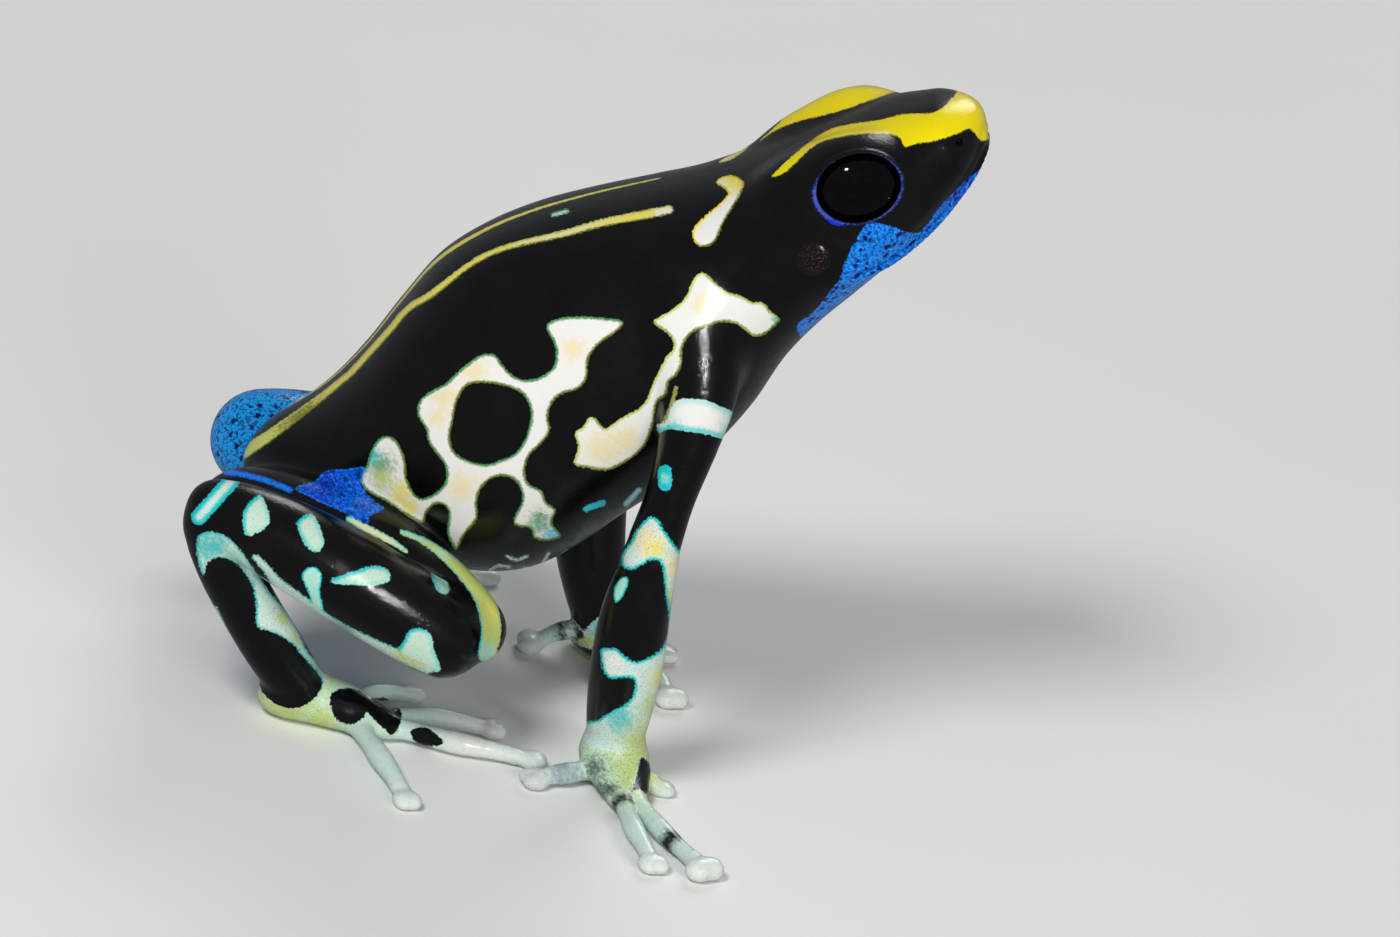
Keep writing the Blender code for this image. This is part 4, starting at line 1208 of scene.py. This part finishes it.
# Share of the thigh that is blue, how far the right one's blue faces down or back at least,
# and how fast it ends there
THIGH_BLUE, THIGH_FACING, THIGH_FADE = 0.72, 0.75, 2.0


def paint_thighs(paint):
    """Dotted blue all over the left thigh, and behind and below on the right one."""
    for name, only_under in (("thigh_right", True), ("thigh_left", False)):
        here = paint.on(name)
        tube = PIECES[name][0]
        depth = (THIGH_BLUE - tube.place(paint.points[here])[:, 0]) * tube.length
        if only_under:
            turned = np.maximum(-paint.normals[here, 2], -paint.normals[here, 0])
            depth = np.minimum(depth, (turned - THIGH_FACING) * THIGH_FADE)
        paint.put(here, depth, BRIGHT_AZURE, BLUE, dots=1.0, edge=0.05)


# Dark bands across digits, as shares of the length
DIGIT_BANDS = {
    "finger_2_right": [(0.1, 0.22)],
    "finger_3_right": [(0.6, 0.72)],
    "finger_1_left": [(0.2, 0.42), (0.52, 0.64)],
    "toe_4_left": [(0.2, 0.28)],
    "toe_5_left": [(0.3, 0.36)],
}

# How softly and how grittily a dark band ends, where a digit's pad starts as a share of the
# length, and how white it turns
BAND_BLUR = 0.3
BAND_GRIT = 0.6
PAD_START = 0.8
PAD_WHITE = 0.6


def paint_paws(paint):
    """Pale hands, feet and digits, with soft dark marks and whiter pads."""
    for kind, tone, grain in PAW_TONES:
        here = paint.on(kind)
        paint.put(here, np.ones(len(here)), tone, tone, spots=SPOTS["paws"], grain=grain)
    for name in called(OUTLINES, "foot_black_"):
        paint.black(name, ("foot", "tarsus", "toe"))
    paint.black("palm_black", ("hand", "forearm"))
    for name in DIGITS:
        here = paint.on(name)
        tube = PIECES[name][0]
        share = tube.place(paint.points[here])[:, 0]
        paint.blend(here, WHITE, np.clip((share - PAD_START) / (1 - PAD_START), 0, 1) * PAD_WHITE)
        for first, last in DIGIT_BANDS.get(name, []):
            inside = np.minimum(share - first, last - share) * tube.length / BAND_BLUR
            grit = (paint.grit[here] - 0.5) * BAND_GRIT
            paint.blend(here, INK, np.clip(inside * 0.5 + 0.5 + grit, 0, 1))


# Half width of the lids' blue rim by the angle in degrees from the front of the eye upward
EYE_RIM = [
    (-180, 0.2), (-150, 0.17), (-125, 0.1), (-95, 0.05), (-60, 0.09), (-25, 0.12), (10, 0.1), (45, 0.05),
    (75, 0.0), (140, 0.02), (165, 0.14), (180, 0.2),
]

# How far off the opening the rim's middle lies, how much narrower than in the table it is, and
# how far from the middle of the eye it may reach
RIM_MIDDLE = 0.1
RIM_INSET = 0.02
EYE_REACH = 3.5

# The blue patch behind the eye: its angle, how far off the opening, and its reach in both
REAR_ANGLE, REAR_OFF = -140, 0.2
REAR_ANGLE_REACH, REAR_OFF_REACH = 16, 0.14
REAR_LEVEL, REAR_DEPTH = 0.45, 0.3


def paint_eyes(paint):
    """The thin blue rim of the lids, thicker behind and below the eye."""
    angles, widths = np.array(EYE_RIM).T
    for side in (-1, 1):
        local = in_eye(paint.points, side)
        close = (np.abs(local[:, :2]).max(1) < EYE_REACH) & (local[:, 2] > 0) & (paint.part == 0)
        here = np.nonzero(close)[0]
        flat = local[here, :2].T
        off = oval_distance(flat, EYE_OPENING)
        turn = np.degrees(np.arctan2(flat[1], flat[0]))
        depth = np.interp(turn, angles, widths) - np.abs(off - RIM_MIDDLE) - RIM_INSET
        paint.put(here, depth, LAVENDER, NAVY, grain=0.5, edge=0.1)
        spread = ((turn - REAR_ANGLE) / REAR_ANGLE_REACH) ** 2 + ((off - REAR_OFF) / REAR_OFF_REACH) ** 2
        rear = (np.exp(-spread) - REAR_LEVEL) * REAR_DEPTH
        paint.put(here, rear, DEEP_BLUE, NAVY, grain=0.3, edge=0.05)


def twin_points(points, part):
    """Each point's like place on the frog's right side, from which it takes its markings."""
    mirror = np.array([1, -1, 1])
    found = points.copy()
    found[:, 1] = np.where((part == 0) & (points[:, 1] > 0), -points[:, 1], points[:, 1])
    for name in PIECES:
        if name.endswith("left") and not name.startswith(("finger", "toe")):
            here = part == PIECE_NAMES.index(name)
            rows = PIECES[name][0].rows * np.array([1, -1, 1, 1, 1])
            mirrored = Tube(rows, SIDEWAYS if name in LIMBS else UPRIGHT)
            place = mirrored.place(points[here] * mirror)
            found[here] = PIECES[name.replace("left", "right")][0].point(place)
            if name.startswith("upper_arm"):
                own = np.clip((place[:, 0] - SHOULDER_START) / SHOULDER_LENGTH, 0, 1)[:, None]
                found[here] = found[here] * own + points[here] * mirror * (1 - own)
    return found


# How far the ear's brown reaches in radii of the ear and over how much it fades, and how
# steeply and how high above the widest line the back's creases begin
EAR_REACH, EAR_FADE = 1.15, 0.35
BACK_STEEPNESS, BACK_START = 2, 0.7


def add_attribute(mesh, name, values):
    """Stores a number or a colour for each vertex."""
    kind, field = ("FLOAT", "value") if values.ndim == 1 else ("FLOAT_COLOR", "color")
    if values.ndim == 2:
        values = np.column_stack([values, np.ones(len(values))])
    layer = mesh.attributes.new(name, kind, "POINT")
    layer.data.foreach_set(field, np.ascontiguousarray(values, np.float32).ravel())


def paint_skin(mesh):
    """Works out the markings and stores them in the mesh."""
    points = vertex_rows(mesh, "co") / MM
    paint = Paint(points, vertex_rows(mesh, "normal"), frog_distance(points, True)[1])
    for paint_some in (
        paint_thighs, paint_legs, paint_arms, paint_paws, paint_body, paint_head, paint_eyes,
    ):
        paint_some(paint)
    for name in ("depth", "core", "rim", "edge", "dots", "grain"):
        add_attribute(mesh, name, getattr(paint, name))
    ears = [np.linalg.norm(points - flank_point(side, EAR_S, EAR_N), axis=1) for side in (-1, 1)]
    far = np.minimum(*ears) / EAR_RADIUS
    add_attribute(mesh, "ear", np.clip((EAR_REACH - far) / EAR_FADE, 0, 1))
    body = points - VENT
    s, n = body @ AXIS_S, body @ AXIS_N
    on_back = np.clip((n - section(s)[1]) / section(s)[2] * BACK_STEEPNESS - BACK_START, 0, 1)
    add_attribute(mesh, "back", on_back * (paint.part == 0))


class Graph:
    """Short calls that add nodes to a material. Scales are cells or waves a millimetre."""

    def __init__(self, name):
        self.material = bpy.data.materials.new(name)
        self.material.use_nodes = True
        self.tree = self.material.node_tree
        self.shader = self.tree.nodes["Principled BSDF"]
        coords = self.node("ShaderNodeTexCoord").outputs["Object"]
        self.place = self.vector("SCALE", coords, scale=1 / MM)

    def node(self, kind, **settings):
        node = self.tree.nodes.new(kind)
        for key, value in settings.items():
            setattr(node, key, value)
        return node

    def feed(self, socket, value):
        """Links a socket to another or sets its value."""
        if isinstance(value, bpy.types.NodeSocket):
            self.tree.links.new(value, socket)
        else:
            socket.default_value = value

    def give(self, name, value):
        """Links or sets one of the shader's own sockets."""
        self.feed(self.shader.inputs[name], value)

    def vector(self, operation, a, b=None, scale=None, output=0):
        node = self.node("ShaderNodeVectorMath", operation=operation)
        self.feed(node.inputs[0], a)
        if b is not None:
            self.feed(node.inputs[1], b)
        if scale is not None:
            self.feed(node.inputs["Scale"], scale)
        return node.outputs[output]

    def math(self, operation, a, b):
        node = self.node("ShaderNodeMath", operation=operation)
        self.feed(node.inputs[0], a)
        self.feed(node.inputs[1], b)
        return node.outputs[0]

    def ramp(self, value, low, high, start=0.0, end=1.0):
        """A smooth step of a value from `start` at `low` to `end` at `high`."""
        node = self.node("ShaderNodeMapRange", interpolation_type="SMOOTHSTEP")
        for socket, given in zip(node.inputs, (value, low, high, start, end)):
            self.feed(socket, given)
        return node.outputs[0]

    def mix(self, share, a, b):
        """A blend of two colours, given as sockets or as numbers of 0 to 255."""
        node = self.node("ShaderNodeMix", data_type="RGBA")
        self.feed(node.inputs["Factor"], share)
        sockets = [socket for socket in node.inputs if socket.type == "RGBA"]
        for socket, value in zip(sockets, (a, b)):
            self.feed(socket, (*linear(value), 1.0) if isinstance(value, tuple) else value)
        return next(socket for socket in node.outputs if socket.type == "RGBA")

    def noise(self, scale, detail=2.0, roughness=0.5, place=None, output="Fac"):
        node = self.node("ShaderNodeTexNoise")
        self.feed(node.inputs["Vector"], place or self.place)
        for name, value in (("Scale", scale), ("Detail", detail), ("Roughness", roughness)):
            node.inputs[name].default_value = value
        return node.outputs[output]

    def cells(self, scale, warp=0.0):
        """Random cells with bent edges."""
        node = self.node("ShaderNodeTexVoronoi")
        bend = self.vector("SCALE", self.noise(scale * 2, output="Color"), scale=warp / scale)
        self.feed(node.inputs["Vector"], self.vector("ADD", self.place, bend))
        node.inputs["Scale"].default_value = scale
        return node.outputs

    def attribute(self, name, output="Fac"):
        return self.node("ShaderNodeAttribute", attribute_name=name).outputs[output]

    def bump(self, height, distance, socket="Normal"):
        node = self.node("ShaderNodeBump")
        node.inputs["Distance"].default_value = distance * MM
        self.feed(node.inputs["Height"], height)
        self.give(socket, node.outputs[0])


# Looks of the skin: colours first, then scales of noise and cells, then heights of the bumps
SPECK = (66, 92, 84)
SPECK_STRENGTH = 0.6
GLOW = (40, 172, 250)
GLOW_STRENGTH = 0.7
BLACKS = ((4, 4, 5), (9, 9, 9))
EAR_BROWNS = ((15, 9, 9), (118, 82, 78))
EYE_BLACKS = ((1, 1, 3), (8, 7, 9))
FLOOR_TONES = ((240, 239, 236), (248, 247, 244))
GRAIN_SCALE, FINE_SCALE, GLOW_SCALE, TONE_SCALE, GLOSS_SCALE = 8.5, 12.0, 9.0, 0.5, 2.5
DOT_SCALE, NET_SCALE, PEBBLE_SCALE, CREASE_SCALE, RAY_SCALE = 2.3, 6.0, 5.5, 4.5, 3.0
CREASE_STRETCH, CREASE_HEIGHT = -0.85, 1.6
SKIN_BUMP, COAT_BUMP, EYE_BUMP = 0.008, 0.016, 0.001


def dotted_share(g):
    """How much of the blue each place's dark dots and fine net cover."""
    cells = g.cells(DOT_SCALE, 0.8)
    pick = g.vector("DOT_PRODUCT", cells["Color"], (1.0, 0.0, 0.0), output="Value")
    size = g.math("ADD", g.math("MULTIPLY", pick, 0.34), 0.1)
    dot = g.ramp(g.math("SUBTRACT", size, cells["Distance"]), -0.08, 0.06)
    net = g.math("MULTIPLY", g.ramp(g.noise(NET_SCALE, 3.0), 0.47, 0.6), 0.7)
    return g.math("MULTIPLY", g.math("MAXIMUM", dot, net), g.attribute("dots"))


def lengthwise_creases(g):
    """Fine creases that run along the body."""
    passed = g.vector("DOT_PRODUCT", g.place, tuple(AXIS_S), output="Value")
    squeezed = g.vector("SCALE", tuple(AXIS_S), scale=g.math("MULTIPLY", passed, CREASE_STRETCH))
    return g.noise(CREASE_SCALE, 3.0, 0.6, place=g.vector("ADD", g.place, squeezed))


def skin_material():
    """Moist, finely granular black skin with rimmed, speckled and dotted markings."""
    g = Graph("frog_skin")
    grain = g.attribute("grain")
    grains = g.noise(GRAIN_SCALE, 2.0, 0.6)
    fine = g.noise(FINE_SCALE, 2.0, 0.7)
    ragged = g.math("ADD", g.math("MULTIPLY", grain, 0.25), 0.2)
    jitter = g.math("MULTIPLY", g.math("SUBTRACT", grains, 0.5), ragged)
    depth = g.math("ADD", g.attribute("depth"), jitter)
    inner = g.ramp(g.math("DIVIDE", depth, g.attribute("edge")), 0.3, 1.0)
    colour = g.mix(inner, g.attribute("rim", "Color"), g.attribute("core", "Color"))
    sparse = g.math("SUBTRACT", 0.61, g.math("MULTIPLY", grain, 0.12))
    specks = g.math("MULTIPLY", g.ramp(g.math("SUBTRACT", fine, sparse), 0.0, 0.12), grain)
    colour = g.mix(g.math("MULTIPLY", specks, SPECK_STRENGTH), colour, SPECK)
    bright = g.math("MULTIPLY", g.ramp(g.noise(GLOW_SCALE), 0.5, 0.64), g.attribute("dots"))
    colour = g.mix(g.math("MULTIPLY", bright, GLOW_STRENGTH), colour, GLOW)
    colour = g.mix(dotted_share(g), colour, NAVY)
    black = g.mix(g.ramp(g.noise(TONE_SCALE, 3.0), 0.35, 0.7), *BLACKS)
    black = g.mix(g.attribute("ear"), black, g.mix(g.ramp(fine, 0.56, 0.74), *EAR_BROWNS))
    g.give("Base Color", g.mix(g.ramp(depth, -0.02, 0.02), black, colour))
    g.give("Roughness", g.ramp(g.noise(GLOSS_SCALE, 4.0, 0.6), 0.3, 0.75, 0.3, 0.46))
    g.give("Specular IOR Level", 0.1)
    g.give("Coat Weight", 0.7)
    g.give("Coat Roughness", 0.05)
    pebbles = g.math("MULTIPLY", g.cells(PEBBLE_SCALE)["Distance"], 0.5)
    creased = g.math("MULTIPLY", g.attribute("back"), CREASE_HEIGHT)
    creases = g.math("MULTIPLY", lengthwise_creases(g), creased)
    g.bump(g.math("ADD", g.math("ADD", pebbles, grains), creases), SKIN_BUMP)
    g.bump(g.math("ADD", pebbles, g.math("MULTIPLY", fine, 0.6)), COAT_BUMP, socket="Coat Normal")
    return g.material


def eye_material():
    """A near-black eye with a faint iris."""
    g = Graph("frog_eye")
    rays = g.noise(RAY_SCALE, 5.0, 0.7)
    g.give("Base Color", g.mix(g.ramp(rays, 0.4, 0.8), *EYE_BLACKS))
    g.give("Roughness", g.ramp(rays, 0.3, 0.8, 0.04, 0.09))
    g.give("Specular IOR Level", 0.3)
    g.bump(rays, EYE_BUMP)
    return g.material


def floor_material():
    """A pale, even ground."""
    g = Graph("floor")
    g.give("Base Color", g.mix(g.noise(0.02, 3.0), *FLOOR_TONES))
    g.give("Roughness", 0.8)
    return g.material


def link(name, data):
    """Adds an object to the scene."""
    obj = bpy.data.objects.new(name, data)
    bpy.context.scene.collection.objects.link(obj)
    return obj


def add_object(name, mesh, material):
    """Adds a smooth mesh of one material to the scene."""
    mesh.materials.append(material)
    mesh.shade_smooth()
    return link(name, mesh)


def mesh_from(bm, name):
    """A mesh made from a bmesh, which is then freed."""
    mesh = bpy.data.meshes.new(name)
    bm.to_mesh(mesh)
    bm.free()
    return mesh


def make_skin():
    """One skin in place of all the nodes of flesh."""
    mesh = make_skin_mesh()
    paint_skin(mesh)
    skin = add_object("skin", mesh, skin_material())
    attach(skin, "root")
    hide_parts(*[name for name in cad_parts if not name.startswith("eye_")])
    return skin


def make_eye(side, name, material):
    """An eyeball, a little longer than it is high."""
    bm = bmesh.new()
    bmesh.ops.create_uvsphere(bm, u_segments=96, v_segments=64, radius=1.0)
    axes = np.array(eye_axes(side)).T
    if side > 0:
        axes = axes * np.array([1, -1, 1])
    turn = Matrix(axes.tolist()).to_4x4()
    stretch = Matrix.Diagonal((*[float(size) * MM for size in EYE_SIZE], 1.0))
    bm.transform(Matrix.Translation(Vector(eye_centre(side) * MM)) @ turn @ stretch)
    eye = add_object(f"eyeball_{name}", mesh_from(bm, name), material)
    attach(eye, "root")
    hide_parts(f"eye_{name}")
    return eye


# Half the floor's width, in metres
FLOOR_REACH = 3.0


def make_floor():
    """The ground under the frog, which wet skin doesn't mirror."""
    bm = bmesh.new()
    bmesh.ops.create_grid(bm, x_segments=1, y_segments=1, size=FLOOR_REACH)
    floor = add_object("floor", mesh_from(bm, "floor"), floor_material())
    floor.visible_glossy = False


# Each light's place, size and power, in metres and watts, whether wet skin mirrors it, and
# whether it shades or only glints
LIGHTS = {
    "key": ((-0.19, -0.27, 0.4), 0.16, 1.35, False, True),
    "fill": ((0.25, -0.45, 0.14), 0.3, 1.2, False, True),
    "back": ((0.12, 0.45, 0.36), 0.3, 0.9, True, True),
    "flash": ((-0.23, -0.13, 0.41), 0.035, 0.8, True, False),
    "spark": ((0.16, -0.42, 0.2), 0.025, 1.0, True, False),
}
SKY_COLOUR = (0.9, 0.93, 1.0, 1.0)
SKY_STRENGTH = 0.18


def add_light(name):
    """A round light that faces the frog."""
    place, size, power, mirrored, shades = LIGHTS[name]
    data = bpy.data.lights.new(name, "AREA")
    data.shape = "DISK"
    data.size = size
    data.energy = power
    light = link(name, data)
    light.location = place
    light.visible_glossy = mirrored
    light.visible_diffuse = shades
    way = Vector(LOOKS_AT * MM) - Vector(place)
    light.rotation_euler = way.to_track_quat("-Z", "Y").to_euler()
    return light


def light_only(light, objects):
    """Keeps a light to some of the objects."""
    lit = bpy.data.collections.new(f"{light.name}_receivers")
    for obj in objects:
        lit.objects.link(obj)
    light.light_linking.receiver_collection = lit


def make_lights(skin, eyes):
    """The lights, of which the flash glints only in the eyes and the spark only on the skin."""
    lights = {name: add_light(name) for name in LIGHTS}
    light_only(lights["flash"], eyes)
    light_only(lights["spark"], [skin])
    world = bpy.data.worlds.new("studio")
    world.use_nodes = True
    sky = world.node_tree.nodes["Background"]
    sky.inputs["Color"].default_value = SKY_COLOUR
    sky.inputs["Strength"].default_value = SKY_STRENGTH
    bpy.context.scene.world = world
    bpy.context.scene.view_settings.view_transform = "Standard"


def make_camera():
    """The photograph's camera."""
    right, up, forward, place = camera_axes()
    data = bpy.data.cameras.new("camera")
    data.sensor_fit = "HORIZONTAL"
    data.sensor_width = SENSOR
    data.lens = SENSOR * CAMERA_DISTANCE / MM_PER_PIXEL / PHOTO_SIZE[0]
    data.clip_start = 0.01
    data.clip_end = 20.0
    camera = link("camera", data)
    turn = Matrix([[right[k], up[k], -forward[k]] for k in range(3)]).to_4x4()
    camera.matrix_world = Matrix.Translation(Vector(place * MM)) @ turn
    bpy.context.scene.camera = camera


skin_piece = make_skin()
eye_look = eye_material()
eyes = [make_eye(-1, "right", eye_look), make_eye(1, "left", eye_look)]
make_floor()
make_lights(skin_piece, eyes)
make_camera()
